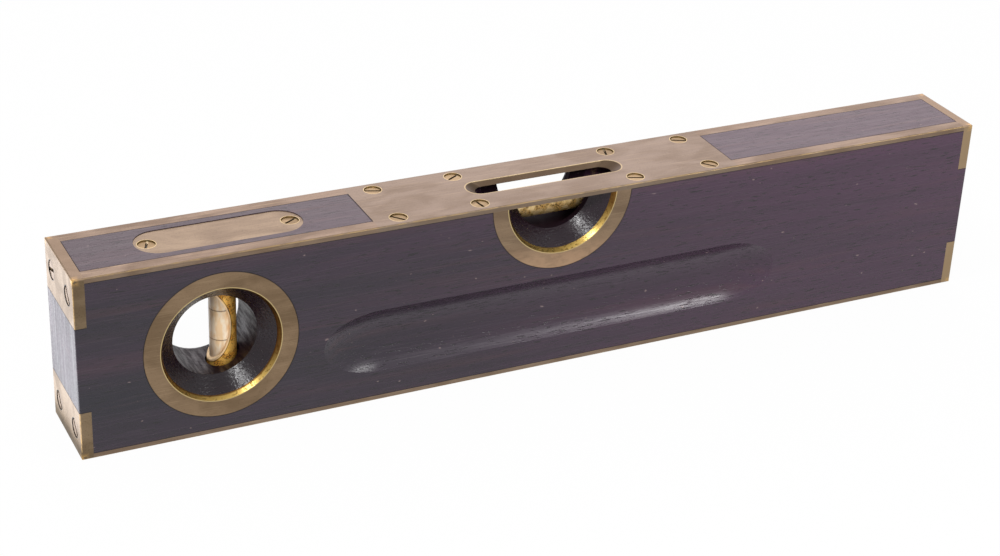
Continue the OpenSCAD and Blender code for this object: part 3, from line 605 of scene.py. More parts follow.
def plate_wear(tree, colour, polish):
    """Bright rims round the sunk screws and the sight slot, and a dark bevel inside the slot."""
    x, y, z = coordinates(tree)
    half_length, half_width = SLOT_HALF
    past = add_node(tree, MATH, [from_value(tree, x, PLATE_MIDDLE), half_length - half_width],
                    operation="SUBTRACT")
    radius = radius_from(tree, joined(tree, "MAXIMUM", past, 0.0), y, (0, 0))
    slot_rim = near(tree, SLOT_RIM_WIDTH, from_value(tree, radius, half_width + SLOT_RIM_OUTSIDE))
    below = add_node(tree, MATH, [z, HEIGHT - SLOT_BEVEL_DEPTH], operation="LESS_THAN")
    in_slot = add_node(tree, MATH, [radius, half_width], operation="LESS_THAN")
    bevel = joined(tree, "MULTIPLY", below, in_slot)
    rubbed = joined(tree, "MAXIMUM", hole_rims(tree), joined(tree, "MULTIPLY", slot_rim, 0.8))
    colour = painted(tree, colour, (bevel, 0.8, "#4a3a2c"), (rubbed, 0.7, LIP))
    return colour, joined(tree, "MAXIMUM", polish, rubbed)


def tip_wear_and_light(tree, colour, polish):
    """Dark lines of dirt round the screws, which are flush with the tips' end faces, paler tops,
    a right end painted paler as painted light, for the stronger light there, and corners
    chipped back to gold."""
    x, y, z = coordinates(tree)
    (middle_y, middle_z), (reach_y, reach_z) = TIP_SCREWS
    across = from_value(tree, from_value(tree, y, middle_y), reach_y)
    up = from_value(tree, from_value(tree, z, middle_z), reach_z)
    radius = radius_from(tree, across, up, (0, 0))
    head_edge = near(tree, DIRT_WIDTH, from_value(tree, radius, TIP_HEAD_RADIUS + DIRT_OUTSIDE))
    along = add_node(tree, MATH, [x], operation="ABSOLUTE")
    on_end = add_node(tree, MATH, [along, HALF_LENGTH - TIP_THICKNESS], operation="GREATER_THAN")
    dirt = joined(tree, "MULTIPLY", head_edge, on_end)
    # Painted light: the tips at the right end are painted paler, as more light falls on them.
    on_right = add_node(tree, MATH, [x, 0.0], operation="GREATER_THAN")
    on_top = add_node(tree, MATH, [z, HEIGHT - WORN_DEPTH], operation="GREATER_THAN")
    chips = patches(tree, CHIP_SIZE, (0.38, 0.52), detail=4.0)
    gold = joined(tree, "MULTIPLY", near(tree, CORNER_WEAR, edge_distances(tree)[1]), chips)
    colour = painted(
        tree, colour,
        (on_right, 0.8, "#a18a6d"),
        (on_top, 0.8, "#8f7a66"),
        (gold, 0.65, "#d9ae68"),
        (dirt, 1.0, "#140f0c"))
    return colour, joined(tree, "MAXIMUM", polish, gold)


print(f"the plate's outer screws stand {PLATE_SCREWS[1][0] / MM:.1f} mm from its middle")


# %% The wear and painted highlights of the rings
def ring_wear_and_highlights(centre, highlight_depth, rub=0.0):
    """A ring's wear and painted highlights: a pale line round the bore's lip, partly a polished
    edge and partly a painted highlight, and a bevel that is brown with tarnish and painted gold
    where it faces up, as a highlight that reaches as deep as the depth given and is broken by
    chips, with faint chips of gold higher up. rub brightens the lowest part of its flat face."""
    def wear_and_light(tree, colour, polish):
        x, y, z = coordinates(tree)
        radius = radius_from(tree, x, z, centre)
        # The pale line round the lip is partly a polished edge and partly a painted highlight.
        lip = near(tree, LIP_WIDTH, from_value(tree, radius, RING_FACE_RADIUS + LIP_WIDTH / 2))
        inner, outer = [RING_FACE_RADIUS + step for step in RING_BEVEL_START]
        bevel = add_node(tree, RANGE, [radius, inner, outer, 1.0, 0.0], **SOFT)
        drop = add_node(tree, MATH, [centre[1], z], operation="SUBTRACT")
        across = add_node(tree, MATH, [y], operation="ABSOLUTE")
        depth = add_node(tree, MATH, [HALF_WIDTH, across], operation="SUBTRACT")
        # The gold on the bevel is a painted highlight: it is laid where the bevel faces up, towards
        # the lamps above, strongest near the face and fading out deeper in, and chips break it up.
        low = add_node(tree, RANGE, [drop, 0.20 * RING_FACE_RADIUS, 0.80 * RING_FACE_RADIUS,
                                     0.10, 1.0], **SOFT)
        chips = patches(tree, CHIP_SIZE, (0.34, 0.48), (0.30, 1.0), detail=4.0)
        fading = highlight_depth - HIGHLIGHT_FADE
        clean = add_node(tree, RANGE, [depth, fading, highlight_depth, 1.0, 0.1], **SOFT)
        gold = joined(tree, "MULTIPLY", low, chips, clean)
        lowest = add_node(tree, RANGE, [drop, 0.5 * RING_RADIUS, 0.95 * RING_RADIUS, 0.0, rub], **SOFT)
        soft_patch = patches(tree, PATCH_SIZE, (0.36, 0.58), (0.55, 1.0), detail=4.0)
        clean_radius = RING_RADIUS - RING_GRIME_WIDTH
        grime = add_node(tree, RANGE, [radius, clean_radius, RING_RADIUS, 0.0, 0.5], **SOFT)
        colour = painted(
            tree, colour,
            (joined(tree, "MULTIPLY", lowest, soft_patch), 1.0, "#b8977a"),
            (lip, 0.85, LIP),
            (bevel, 1.0, painted(tree, "#6a4420", (gold, 1.0, GOLD))),
            (grime, 1.0, GRIME_AND_SHADE))
        return colour, joined(tree, "MAXIMUM", polish, lip, joined(tree, "MULTIPLY", bevel, gold))
    return wear_and_light


print(f"a ring's bevel starts {RING_FACE_RADIUS / MM:.1f} mm from its middle")


# %% The brass materials' common part
def aged_brass(name, clean, tarnish, roughness, stain=0.15, scratch=0.22, wear_and_light=None, slotted=False):
    """Brass with clouds of tarnish, fine scratches along the level and bright rubbed corners.
    slotted darkens what a screw's own mesh marks as below its face: dirt, and painted shade in
    the slot and round the head."""
    made, tree = new_material(name)
    cloud = patches(tree, CLOUD_SIZE, (0.36, 0.66), detail=5.0, distortion=0.6)
    speck = patches(tree, SPECK_SIZE, (0.56, 0.72), (0.0, stain))
    line = grains(tree, SCRATCH_SIZE)
    dark_line = add_node(tree, RANGE, [line, 0.25, 0.48, scratch, 0.0], **SOFT)
    pale_line = add_node(tree, RANGE, [line, 0.54, 0.75, 0.0, scratch], **SOFT)
    patch = patches(tree, PATCH_SIZE, (0.36, 0.58), (0.25, 1.0), detail=4.0)
    polish = joined(tree, "MULTIPLY", patch, near(tree, EDGE_WEAR, edge_distances(tree)[0]))
    colour = painted(
        tree, clean,
        (cloud, 1.0, tarnish),
        (speck, 1.0, GRIME_AND_SHADE),
        (dark_line, 1.0, "#4a3826"),
        (pale_line, 1.0, "#d9c09a"),
        (polish, 0.6, RUBBED))
    metallic = 1.0
    if wear_and_light:
        colour, polish = wear_and_light(tree, colour, polish)
    if slotted:
        # Dirt and painted shade: below the face, in the slot and round the head, the brass is painted
        # dark and less metallic.
        below_face = add_node(tree, "ShaderNodeAttribute", attribute_name="below_face").outputs["Fac"]
        colour = painted(tree, colour, (below_face, 0.92, GRIME_AND_SHADE))
        metallic = shifted(tree, 1.0, (below_face, -0.85))
    height = shifted(tree, 0.0, (speck, -0.8), (line, 0.6))
    relief = add_node(tree, "ShaderNodeBump", {"Height": height, **SCRATCH_RELIEF})
    shader = add_node(tree, "ShaderNodeBsdfPrincipled", {
        "Base Color": colour, "Metallic": metallic, "Normal": relief,
        "Roughness": shifted(tree, roughness, (cloud, 0.06), (polish, -0.12))})
    add_node(tree, "ShaderNodeOutputMaterial", {"Surface": shader})
    return made


print(f"the brass's scratches are drawn {SCRATCH_SIZE[1] / MM:.1f} mm apart")

# %% [markdown]
# ## The vials' tubes
#
# A vial's tube is drawn brass, cut open where the bubble is read. It kept its yellow, but sweat
# and wood acid have stained it with dark blotches and spots. It is rougher than it looks, and
# its inside is as bright as its outside, which is what shows through the glass. The plumb vial's
# tube was opened with a round cut from the side: its rim is rubbed pale, with a dark line of
# dirt round it.

# %% The tube material
BLOTCH_SIZE = (3.0 * MM, 2.0 * MM, 3.0 * MM)
STAIN_SPOT_SIZE = (0.36 * MM, 0.36 * MM, 0.36 * MM)
PLUMB_CUT_RADIUS = 15.4 * MM
PLUMB_CUT_PAST_AXIS = 1.2 * MM
CUT_RIM = (0.35 * MM, 0.5 * MM)
CUT_DIRT = 0.62 * MM
CUT_DIRT_WIDTH = 0.22 * MM
plumb_glass_low, plumb_glass_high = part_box("plumb_vial_glass")
PLUMB_AXIS_X = (plumb_glass_low.x + plumb_glass_high.x) / 2
PLUMB_CUT = ((PLUMB_AXIS_X + PLUMB_CUT_PAST_AXIS - PLUMB_CUT_RADIUS, PLUMB_HOLE[1]), PLUMB_CUT_RADIUS)


def stained_tube(name, bright, dull, spots, cut=None):
    """Drawn brass with dark spots gathered in its dull patches. cut is the middle and the radius
    of the round cut that opened the tube, whose edge is rubbed pale and outlined by dirt."""
    made, tree = new_material(name)
    blotch = patches(tree, BLOTCH_SIZE, (0.42, 0.62), (0.1, 1.0), detail=5.0, distortion=0.4)
    spot = patches(tree, STAIN_SPOT_SIZE, (0.49, 0.60), (0.0, spots))
    stain = joined(tree, "MULTIPLY", spot, blotch)
    colour = painted(tree, bright, (blotch, 1.0, dull), (stain, 1.0, "#241608"))
    if cut:
        x, y, z = coordinates(tree)
        middle, cut_radius = cut
        from_middle = radius_from(tree, x, z, middle)
        from_cut = add_node(tree, MATH, [from_middle, cut_radius], operation="SUBTRACT")
        rim = add_node(tree, RANGE, [from_cut, *CUT_RIM, 0.9, 0.0], **SOFT)
        outline = near(tree, CUT_DIRT_WIDTH, from_value(tree, from_cut, CUT_DIRT))
        colour = painted(tree, colour, (rim, 1.0, "#f6d8b0"), (outline, 0.8, "#2e1c10"))
    shader = add_node(tree, "ShaderNodeBsdfPrincipled", {
        "Base Color": colour, "Metallic": 0.6,
        "Roughness": add_node(tree, RANGE, [blotch, 0.0, 1.0, 0.42, 0.6], **SOFT)})
    add_node(tree, "ShaderNodeOutputMaterial", {"Surface": shader})
    return made


print(f"the plumb tube's cut has a radius of {PLUMB_CUT_RADIUS / MM} mm")

# %% [markdown]
# ## Glass, spirit and air
#
# A vial is a drawn glass tube, sealed at both ends and filled with spirit but for one bubble.
# Two fine lines are scribed round the glass and rubbed with brown paint, so that the eye can
# centre the bubble between them. Glass bends light by 1.5 and the spirit by 1.36. The plumb
# vial's glass has a tan film inside, left by its old spirit, so it hides nearly all behind it.
# The film is streaked, and darker at its ends and down its left side.

# %% The clear materials
LINE_SPAN = 9.8 * MM
LINE_WIDTH = 0.30 * MM
FILM_CLOUD_SIZE = (1.3 * MM, 1.3 * MM, 3.5 * MM)
# The film darkens between these distances from the glass's middle, and fades between these
# sideways from its axis.
FILM_ENDS = (5.5 * MM, 9.5 * MM)
FILM_DARK_SIDE = (-3.6 * MM, -2.4 * MM)
GLASS_IOR = 1.5
SPIRIT_IOR = 1.36
# A bubble is air in spirit. This value gives it a bright rim without the black one of a mirror.
BUBBLE_IOR = 1.25


def clear(name, tint, ior):
    """A clear, smooth filling: a liquid or a gas, with hardly any tint."""
    made, tree = new_material(name)
    shader = add_node(tree, "ShaderNodeBsdfPrincipled", {
        "Base Color": tint, "Roughness": 0.0, "IOR": ior, "Transmission Weight": 1.0})
    add_node(tree, "ShaderNodeOutputMaterial", {"Surface": shader})
    return made


def tan_film(tree, from_middle):
    """The dried film in the plumb vial's glass: streaked, and darker at both ends and down its
    left side."""
    side = add_node(tree, MATH, [coordinates(tree)[0], PLUMB_AXIS_X], operation="SUBTRACT")
    cloud = patches(tree, FILM_CLOUD_SIZE, (0.38, 0.62), detail=4.0)
    ends = add_node(tree, RANGE, [from_middle, *FILM_ENDS, 0.0, 0.45], **SOFT)
    darker_left = add_node(tree, RANGE, [side, *FILM_DARK_SIDE, 0.5, 0.0], **SOFT)
    colour = painted(
        tree, "#f6d2a4",
        (cloud, 1.0, "#ffecd0"),
        (ends, 1.0, "#b08c66"),
        (darker_left, 1.0, "#9a8070"))
    return add_node(tree, "ShaderNodeBsdfPrincipled", {"Base Color": colour, "Roughness": 0.18})


def scribed_glass(name, axis, middle, film=None):
    """Glass whose two scribed lines, square to the axis, hold brown paint. film is the share of
    it that a tan film hides."""
    made, tree = new_material(name)
    from_middle = from_value(tree, coordinates(tree)[axis], middle)
    off_line = from_value(tree, from_middle, LINE_SPAN / 2)
    paint = add_node(tree, RANGE, [off_line, LINE_WIDTH * 0.40, LINE_WIDTH * 0.70, 0.75, 0.0], **SOFT)
    shell = add_node(tree, "ShaderNodeBsdfPrincipled", {
        "Base Color": "#fbfdfb", "Roughness": 0.0, "IOR": GLASS_IOR, "Transmission Weight": 1.0})
    if film:
        shell = add_node(tree, "ShaderNodeMixShader", [film, shell, tan_film(tree, from_middle)])
    brown = add_node(tree, "ShaderNodeBsdfPrincipled", {"Base Color": "#6b4e3a", "Roughness": 0.6})
    marked = add_node(tree, "ShaderNodeMixShader", [paint, shell, brown])
    add_node(tree, "ShaderNodeOutputMaterial", {"Surface": marked})
    return made


print(f"the scribed lines are {LINE_SPAN / MM} mm apart")

# %% [markdown]
# ## Steel and cork
#
# The adjusting screws, washers and spring are drawn steel, grey with a little brown bloom where
# damp has reached it, and the bloom is rougher than the clean metal. The plumb vial's tube is
# stopped at the top with a cork, which is a soft brown bark with darker grains.

# %% Steel and cork materials
BLOOM_SIZE = (2 * MM, 2 * MM, 2 * MM)
CORK_GRAIN_SIZE = (0.8 * MM, 0.8 * MM, 0.8 * MM)
CORK_RELIEF = {"Strength": 0.5, "Distance": 0.1 * MM}


def bloomed_steel():
    made, tree = new_material("steel_drawn_with_brown_bloom")
    bloom = patches(tree, BLOOM_SIZE, (0.4, 0.7), detail=4.0)
    shader = add_node(tree, "ShaderNodeBsdfPrincipled", {
        "Base Color": painted(tree, "#8d8f92", (bloom, 1.0, "#5f5349")), "Metallic": 1.0,
        "Roughness": add_node(tree, RANGE, [bloom, 0.0, 1.0, 0.30, 0.5], **SOFT)})
    add_node(tree, "ShaderNodeOutputMaterial", {"Surface": shader})
    return made


def natural_cork():
    made, tree = new_material("cork_natural")
    grain = grains(tree, CORK_GRAIN_SIZE)
    relief = add_node(tree, "ShaderNodeBump", {"Height": grain, **CORK_RELIEF})
    dark_grain = add_node(tree, RANGE, [grain, 0.4, 0.7], **SOFT)
    shader = add_node(tree, "ShaderNodeBsdfPrincipled", {
        "Base Color": painted(tree, "#b08a5c", (dark_grain, 1.0, "#6f4f30")),
        "Roughness": 0.9, "Normal": relief})
    add_node(tree, "ShaderNodeOutputMaterial", {"Surface": shader})
    return made


print("steel and cork are described")

# %% [markdown]
# ## A finish for every piece
#
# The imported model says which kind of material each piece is. One material is made for each kind.
# A few pieces get one of their own: the plumb vial's filmed glass and its spotted tube, the
# paler cover and the half rings, whose holes lie elsewhere than the plumb ring's.

# %% Make the materials
MATERIALS = {
    "rosewood": ROSEWOOD,
    "plate_brass": aged_brass("brass_worn_satin_plate", "#837364", "#7c6b5b", roughness=0.42,
                              stain=0.25, scratch=0.12, wear_and_light=plate_wear),
    "strip_brass": aged_brass("brass_worn_satin_strip", "#877463", "#796655", roughness=0.42,
                              stain=0.25),
    "tip_brass": aged_brass("brass_worn_satin_tip", "#827059", "#6f5e49", roughness=0.46,
                            stain=0.55, scratch=0.05, wear_and_light=tip_wear_and_light),
    "ring_brass": aged_brass("brass_brushed_ring", "#8a745c", "#75614b", roughness=0.38,
                             stain=0.3, scratch=0.15,
                             wear_and_light=ring_wear_and_highlights(PLUMB_HOLE, highlight_depth=1.5 * MM)),
    "screw_brass": aged_brass("brass_turned_screw", "#937c58", "#7b6648", roughness=0.36,
                              slotted=True),
    "tube_brass": stained_tube("brass_drawn_tube_stained", "#f4d69c", "#caa05a", spots=0.9),
    "vial_glass": scribed_glass("glass_scribed_clear", axis=0, middle=0.0),
    "vial_spirit": clear("spirit_straw_tinted", "#fdfcf2", SPIRIT_IOR),
    "air_bubble": clear("air_in_spirit", "#ffffff", BUBBLE_IOR),
    "adjusting_steel": bloomed_steel(),
    "cork": natural_cork(),
}
print(f"{len(MATERIALS)} materials are ready")

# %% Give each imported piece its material
SLOT_OF = {row["node"]: row["material_slot"] for row in frame["record"]["subparts"]}
for node_name, piece in NODES.items():
    piece.data.materials.clear()
    piece.data.materials.append(MATERIALS[SLOT_OF[node_name]])
NODES["plumb_vial_glass"].data.materials[0] = scribed_glass(
    "glass_scribed_with_tan_film", axis=2, middle=PLUMB_HOLE[1], film=0.95)
NODES["plumb_vial_case"].data.materials[0] = stained_tube(
    "brass_drawn_tube_spotted", "#fdc864", "#da9a3c", spots=1.0, cut=PLUMB_CUT)
NODES["plumb_cover"].data.materials[0] = aged_brass(
    "brass_worn_satin_cover", "#917f69", "#867461", roughness=0.42, stain=0.25, scratch=0.15,
    wear_and_light=plate_wear)
half_ring_brass = aged_brass(
    "brass_brushed_half_ring", "#8b7660", "#786552", roughness=0.38, stain=0.3, scratch=0.15,
    wear_and_light=ring_wear_and_highlights(LEVEL_HOLE, highlight_depth=1.9 * MM, rub=0.7))
for side in ("front", "back"):
    NODES[f"level_ring_{side}"].data.materials[0] = half_ring_brass
print(f"{len(NODES)} packed pieces have their finish")

# %% [markdown]
# ## The spirit
#
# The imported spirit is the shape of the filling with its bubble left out, and it touches the glass
# face to face. Two faces at one place confuse a render, so a plain column of spirit stands for
# it, a hair wider than the bore, and the bubble lies in it. It's shaped as on a lathe: each point
# of a profile becomes a ring of points round the vial's axis, and faces join ring to ring. Made
# in this order, the mesh is the same at each run, which welding a spun profile wouldn't promise.

# %% Turn the two columns of spirit
HAIR = 0.02 * MM
END_ROUNDING = 0.4
LATHE_STEPS = 64
ROUND_STEPS = 6


def turned_column(name, node, axis):
    """A round-ended column that fills a node's box along an axis, a hair wider."""
    low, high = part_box(node)
    middle = (low + high) / 2
    half = (high[axis] - low[axis]) / 2
    across = (axis + 1) % 3
    radius = (high[across] - low[across]) / 2 + HAIR
    corner = radius * END_ROUNDING
    profile = []
    for step in range(ROUND_STEPS + 1):
        turn = math.pi / 2 * step / ROUND_STEPS
        out = radius - corner + corner * math.sin(turn)
        profile.append((out, -half + corner - corner * math.cos(turn)))
    profile += [(r, -h) for r, h in reversed(profile)]
    shape = bmesh.new()
    turns = [2 * math.pi * step / LATHE_STEPS for step in range(LATHE_STEPS)]
    rings = [[shape.verts.new((r * math.cos(turn), r * math.sin(turn), h)) for turn in turns]
             for r, h in profile]
    foot = shape.verts.new((0, 0, -half))
    top = shape.verts.new((0, 0, half))
    for step in range(LATHE_STEPS):
        shape.faces.new((foot, rings[0][step], rings[0][step - 1]))
        for lower, upper in zip(rings, rings[1:]):
            shape.faces.new((lower[step - 1], lower[step], upper[step], upper[step - 1]))
        shape.faces.new((top, rings[-1][step - 1], rings[-1][step]))
    turn_to_axis = Vector((0, 0, 1)).rotation_difference(Vector([float(a == axis) for a in range(3)]))
    bmesh.ops.transform(shape, matrix=turn_to_axis.to_matrix().to_4x4(), verts=shape.verts)
    bmesh.ops.translate(shape, vec=middle, verts=shape.verts)
    for face in shape.faces:
        face.smooth = True
    mesh = bpy.data.meshes.new(name)
    shape.to_mesh(mesh)
    shape.free()
    mesh.materials.append(MATERIALS["vial_spirit"])
    return add_object(name, mesh)


for spirit, node, axis, body in (
        ("level_spirit_column", "level_spirit", 0, "level_vial"),
        ("plumb_spirit_column", "plumb_spirit", 2, "plumb_vial")):
    column = turned_column(spirit, node, axis)
    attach(column, body)
    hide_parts(node)
    print(f"{spirit} has {len(column.data.polygons)} faces")

# %% [markdown]
# ## The adjusting spring
#
# A coil of steel wire stands round the level vial's adjusting screw and holds the vial's lug up
# against it. A turn of the screw presses the coil together or lets it out. The coil is wound
# again here, a circle swept along a spiral by Geometry Nodes, and kept as a plain mesh.

# %% Wind the spring
SPRING_TURNS = 4
STEPS_A_TURN = 32
WIRE_RADIUS = 0.3 * MM
WIRE_SIDES = 12


def keep_result(piece, tree, inputs):
    """Runs a node tree on a piece and keeps what it makes as the piece's plain mesh."""
    modifier = piece.modifiers.new(tree.name, "NODES")
    modifier.node_group = tree
    sockets = {s.name: s.identifier for s in tree.interface.items_tree if s.in_out == "INPUT"}
    for name, value in inputs.items():
        modifier[sockets[name]] = value
    bpy.context.view_layer.update()
    graph = bpy.context.evaluated_depsgraph_get()
    made = bpy.data.meshes.new_from_object(piece.evaluated_get(graph))
    piece.modifiers.clear()
    piece.data = made


def spring_tree():
    """A coil of round wire that stands on the origin, with its ends closed."""
    tree = bpy.data.node_groups.new("coil_spring", "GeometryNodeTree")
    for name in ("Coil Radius", "Height", "Turns", "Wire Radius"):
        tree.interface.new_socket(name, in_out="INPUT", socket_type="NodeSocketFloat")
    tree.interface.new_socket("Finish", in_out="INPUT", socket_type="NodeSocketMaterial")
    tree.interface.new_socket("Spring", in_out="OUTPUT", socket_type="NodeSocketGeometry")
    given = tree.nodes.new("NodeGroupInput").outputs
    line = add_node(tree, "GeometryNodeCurveSpiral", {
        "Resolution": STEPS_A_TURN, "Rotations": given["Turns"], "Height": given["Height"],
        "Start Radius": given["Coil Radius"], "End Radius": given["Coil Radius"]})
    wire = add_node(tree, "GeometryNodeCurvePrimitiveCircle", {
        "Resolution": WIRE_SIDES, "Radius": given["Wire Radius"]})
    swept = add_node(tree, "GeometryNodeCurveToMesh", {
        "Curve": line, "Profile Curve": wire, "Fill Caps": True})
    finished = add_node(tree, "GeometryNodeSetMaterial", {
        "Geometry": swept, "Material": given["Finish"]})
    add_node(tree, "NodeGroupOutput", [finished])
    return tree


spring_low, spring_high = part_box("level_adjusting_spring")
spring_foot = ((spring_low.x + spring_high.x) / 2, (spring_low.y + spring_high.y) / 2, spring_low.z)
spring = add_object("adjusting_coil_spring", bpy.data.meshes.new("adjusting_coil_spring"))
keep_result(spring, spring_tree(), {
    "Coil Radius": (spring_high.x - spring_low.x) / 2 - WIRE_RADIUS, "Turns": SPRING_TURNS,
    "Height": spring_high.z - spring_low.z - 2 * WIRE_RADIUS, "Wire Radius": WIRE_RADIUS,
    "Finish": MATERIALS["adjusting_steel"]})
spring.data.transform(Matrix.Translation(spring_foot) @ Matrix.Translation((0, 0, WIRE_RADIUS)))
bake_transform(spring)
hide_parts("level_adjusting_spring")
print(f"the spring has {SPRING_TURNS} turns and {len(spring.data.polygons)} faces")

# %% [markdown]
# ## The wood screws
#
# The plate, the cover, the tips and the vial's bracket are held by countersunk brass wood screws
# with slotted heads. One screw is made with Geometry Nodes: its outline is drawn as short lines,
# swept round the axis, and the slot is cut out of the head. Then it is set on a point for each
# screw, turned as each real one is, since nobody lines slots up. The sizes are inputs of the
# tree, so that the same screw serves every place. What lies below the head's face is marked in
# an attribute, where the finish paints dirt and painted shade, in the slot and round the head.

# %% The screw's sizes
SCREW_INPUTS = {
    "Head Diameter": 5.3 * MM,
    "Head Land": 0.25 * MM,
    "Rounded Rim": 0.12 * MM,
    "Shank Diameter": 2.8 * MM,
    "Length": 12.0 * MM,
    "Slot Width": 0.75 * MM,
    "Slot Depth": 0.70 * MM,
}
SCREW_SIDES = 48
TAPER_START = 0.8
SCREW_WELD = 0.002 * MM
SHARP_ANGLE = math.radians(32)
print(f"a screw is described by {len(SCREW_INPUTS)} sizes")


# %% The screw's node tree
def screw_tree():
    """One screw, standing under its point with its face up, copied to every point given."""
    tree = bpy.data.node_groups.new("countersunk_wood_screw", "GeometryNodeTree")
    tree.interface.new_socket("Points", in_out="INPUT", socket_type="NodeSocketGeometry")
    for name, size in SCREW_INPUTS.items():
        socket = tree.interface.new_socket(name, in_out="INPUT", socket_type="NodeSocketFloat")
        socket.default_value = size
    tree.interface.new_socket("Finish", in_out="INPUT", socket_type="NodeSocketMaterial")
    tree.interface.new_socket("Screws", in_out="OUTPUT", socket_type="NodeSocketGeometry")
    given = tree.nodes.new("NodeGroupInput").outputs
    head = joined(tree, "MULTIPLY", given["Head Diameter"], 0.5)
    shank = joined(tree, "MULTIPLY", given["Shank Diameter"], 0.5)
    rim = given["Rounded Rim"]
    face = joined(tree, "SUBTRACT", head, rim)
    land = joined(tree, "ADD", given["Head Land"], rim)
    throat = joined(tree, "ADD", land, joined(tree, "SUBTRACT", head, shank))
    taper = joined(tree, "MULTIPLY", given["Length"], TAPER_START)
    outline = [(face, 0.0), (head, rim), (head, land), (shank, throat), (shank, taper),
               (0.0, given["Length"])]
    parts = add_node(tree, "GeometryNodeJoinGeometry")

    def place(geometry, depth):
        down = add_node(tree, "ShaderNodeCombineXYZ", {"Z": joined(tree, "MULTIPLY", depth, -1.0)})
        moved = add_node(tree, "GeometryNodeTransform", {"Geometry": geometry, "Translation": down})
        tree.links.new(moved.outputs["Geometry"], parts.inputs["Geometry"])

    disc = add_node(tree, "GeometryNodeMeshCircle", {"Vertices": SCREW_SIDES, "Radius": face},
                    fill_type="NGON")
    place(disc, 0.0)
    for (top_radius, top), (low_radius, low) in zip(outline, outline[1:]):
        ring = add_node(tree, "GeometryNodeMeshCone", {
            "Vertices": SCREW_SIDES, "Radius Top": top_radius, "Radius Bottom": low_radius,
            "Depth": joined(tree, "SUBTRACT", low, top)}, fill_type="NONE")
        place(ring, low)
    welded = add_node(tree, "GeometryNodeMergeByDistance", {
        "Geometry": parts, "Distance": SCREW_WELD})

    # The block that cuts the slot is centred on the face, so it is twice as high as the slot is
    # deep, and it is longer than the head is wide.
    block_size = add_node(tree, "ShaderNodeCombineXYZ", {
        "X": joined(tree, "MULTIPLY", head, 3.0), "Y": given["Slot Width"],
        "Z": joined(tree, "MULTIPLY", given["Slot Depth"], 2.0)})
    block = add_node(tree, "GeometryNodeMeshCube", {"Size": block_size})
    slotted = add_node(tree, "GeometryNodeMeshBoolean", [welded, block], operation="DIFFERENCE",
                       solver="EXACT")

    # What lies below the face is marked for the finish's dirt and painted shade.
    position = add_node(tree, "GeometryNodeInputPosition")
    height = add_node(tree, "ShaderNodeSeparateXYZ", [position]).outputs["Z"]
    below = add_node(tree, "FunctionNodeCompare", [height, -SCREW_WELD], data_type="FLOAT",
                     operation="LESS_THAN")
    marked = add_node(tree, "GeometryNodeStoreNamedAttribute", {
        "Geometry": slotted, "Name": "below_face", "Value": below},
        data_type="FLOAT", domain="POINT")
    smooth = add_node(tree, "GeometryNodeSetShadeSmooth", {"Geometry": marked})
    angle = add_node(tree, "GeometryNodeInputMeshEdgeAngle").outputs["Unsigned Angle"]
    sharp = add_node(tree, "FunctionNodeCompare", [angle, SHARP_ANGLE], data_type="FLOAT",
                     operation="GREATER_THAN")
    creased = add_node(tree, "GeometryNodeSetShadeSmooth", {
        "Geometry": smooth, "Selection": sharp, "Shade Smooth": False}, domain="EDGE")

    turn = add_node(tree, "GeometryNodeInputNamedAttribute", {"Name": "turn"},
                    data_type="FLOAT_VECTOR")
    copies = add_node(tree, "GeometryNodeInstanceOnPoints", {
        "Points": given["Points"], "Instance": creased, "Rotation": turn})
    solid = add_node(tree, "GeometryNodeRealizeInstances", {"Geometry": copies})
    finished = add_node(tree, "GeometryNodeSetMaterial", {
        "Geometry": solid, "Material": given["Finish"]})
    add_node(tree, "NodeGroupOutput", [finished])
    return tree


SCREW_TREE = screw_tree()
print(f"the screw's tree has {len(SCREW_TREE.nodes)} nodes")


# %% Set the screws
def set_screws(name, node, body, places, sizes, finish=MATERIALS["screw_brass"]):
    """Puts a screw on each (point, turn) and keeps them as one plain mesh on a body."""
    mesh = bpy.data.meshes.new(name)
    mesh.from_pydata([place for place, turn in places], [], [])
    turns = mesh.attributes.new("turn", "FLOAT_VECTOR", "POINT")
    for value, (place, turn) in zip(turns.data, places):
        value.vector = turn.to_euler("XYZ")
    screws = add_object(name, mesh)
    keep_result(screws, SCREW_TREE, {"Finish": finish, **sizes})
    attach(screws, body)
    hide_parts(node)
    print(f"{name}: {len(places)} screws, {len(screws.data.polygons)} faces")


def about_up(degrees):
    """A turn about the screw's own axis, before it is laid along another."""
    return Matrix.Rotation(math.radians(degrees), 3, "Z")


def top_of(node):
    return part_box(node)[1].z


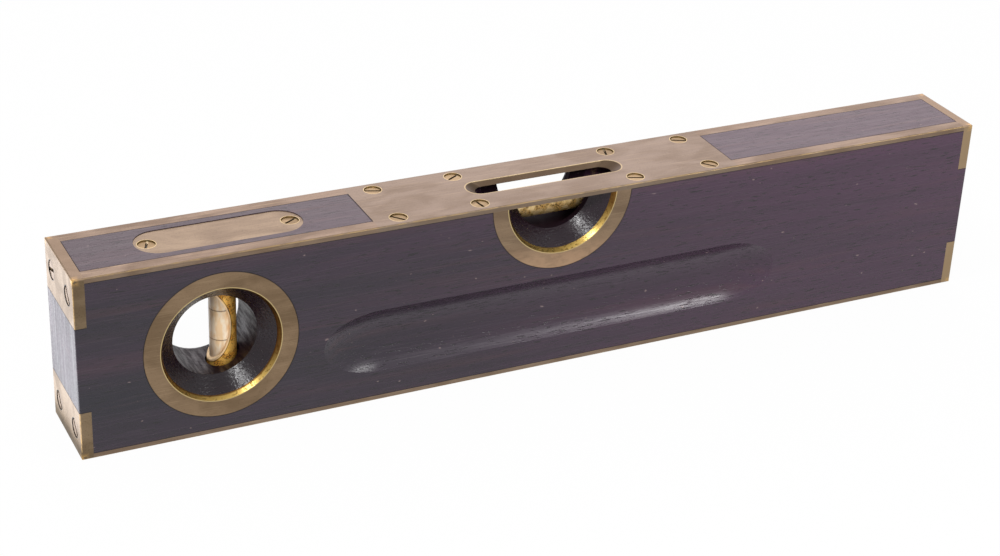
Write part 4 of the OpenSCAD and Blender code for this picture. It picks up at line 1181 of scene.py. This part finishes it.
(plate_x, plate_y), (reach_x, reach_y) = PLATE_SCREWS
# The turns in degrees, from the left pair to the right one, and of each pair the back one first.
PLATE_TURNS = iter((-20, -50, 30, -80, 73, -20, -25, -50))
set_screws("plate_wood_screws", "top_plate_screws", "stock_body", [
    ((plate_x + share * reach_x, plate_y + side * reach_y, top_of("top_plate_screws")),
     about_up(next(PLATE_TURNS)))
    for share in (-1, -0.5, 0.5, 1) for side in (1, -1)], {"Length": 12 * MM})
(cover_x, cover_y), (reach_x, reach_y) = COVER_SCREWS
set_screws("cover_wood_screws", "plumb_cover_screws", "stock_body", [
    ((cover_x - reach_x, cover_y, top_of("plumb_cover_screws")), about_up(67)),
    ((cover_x + reach_x, cover_y, top_of("plumb_cover_screws")), about_up(30))], {"Length": 9 * MM})
bracket_low, bracket_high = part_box("level_bracket_screw")
bracket_middle = (bracket_low + bracket_high) / 2
set_screws("bracket_wood_screw", "level_bracket_screw", "stock_body", [
    ((bracket_middle.x, bracket_middle.y, bracket_high.z), about_up(15))],
    {"Length": 8 * MM, "Head Diameter": bracket_high.x - bracket_low.x})

# %% Set the tips' screws, which lie along the level
FILED_BRASS = aged_brass("brass_filed_flush_screw", "#7f6d5b", "#74624f", roughness=0.44,
                         stain=0.3, slotted=True)
# The turns in degrees, the top two first, and of each two the back one first.
TIP_TURNS = (106, 38, 35, 44)
(tip_y, tip_z), (reach_y, reach_z) = TIP_SCREWS
for side, name in ((-1, "left"), (1, "right")):
    node = f"{name}_tip_screws"
    face_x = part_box(node)[max(side, 0)].x
    outwards = Matrix.Rotation(math.radians(90 * side), 3, "Y")
    corners = [(1, 1), (-1, 1), (1, -1), (-1, -1)]
    set_screws(f"{name}_tip_wood_screws", node, "stock_body", [
        ((face_x, tip_y + across * reach_y, tip_z + up * reach_z), outwards @ about_up(turn))
        for (across, up), turn in zip(corners, TIP_TURNS)],
        {"Length": 15 * MM, "Head Diameter": 2 * TIP_HEAD_RADIUS, "Slot Width": 1.05 * MM},
        FILED_BRASS)
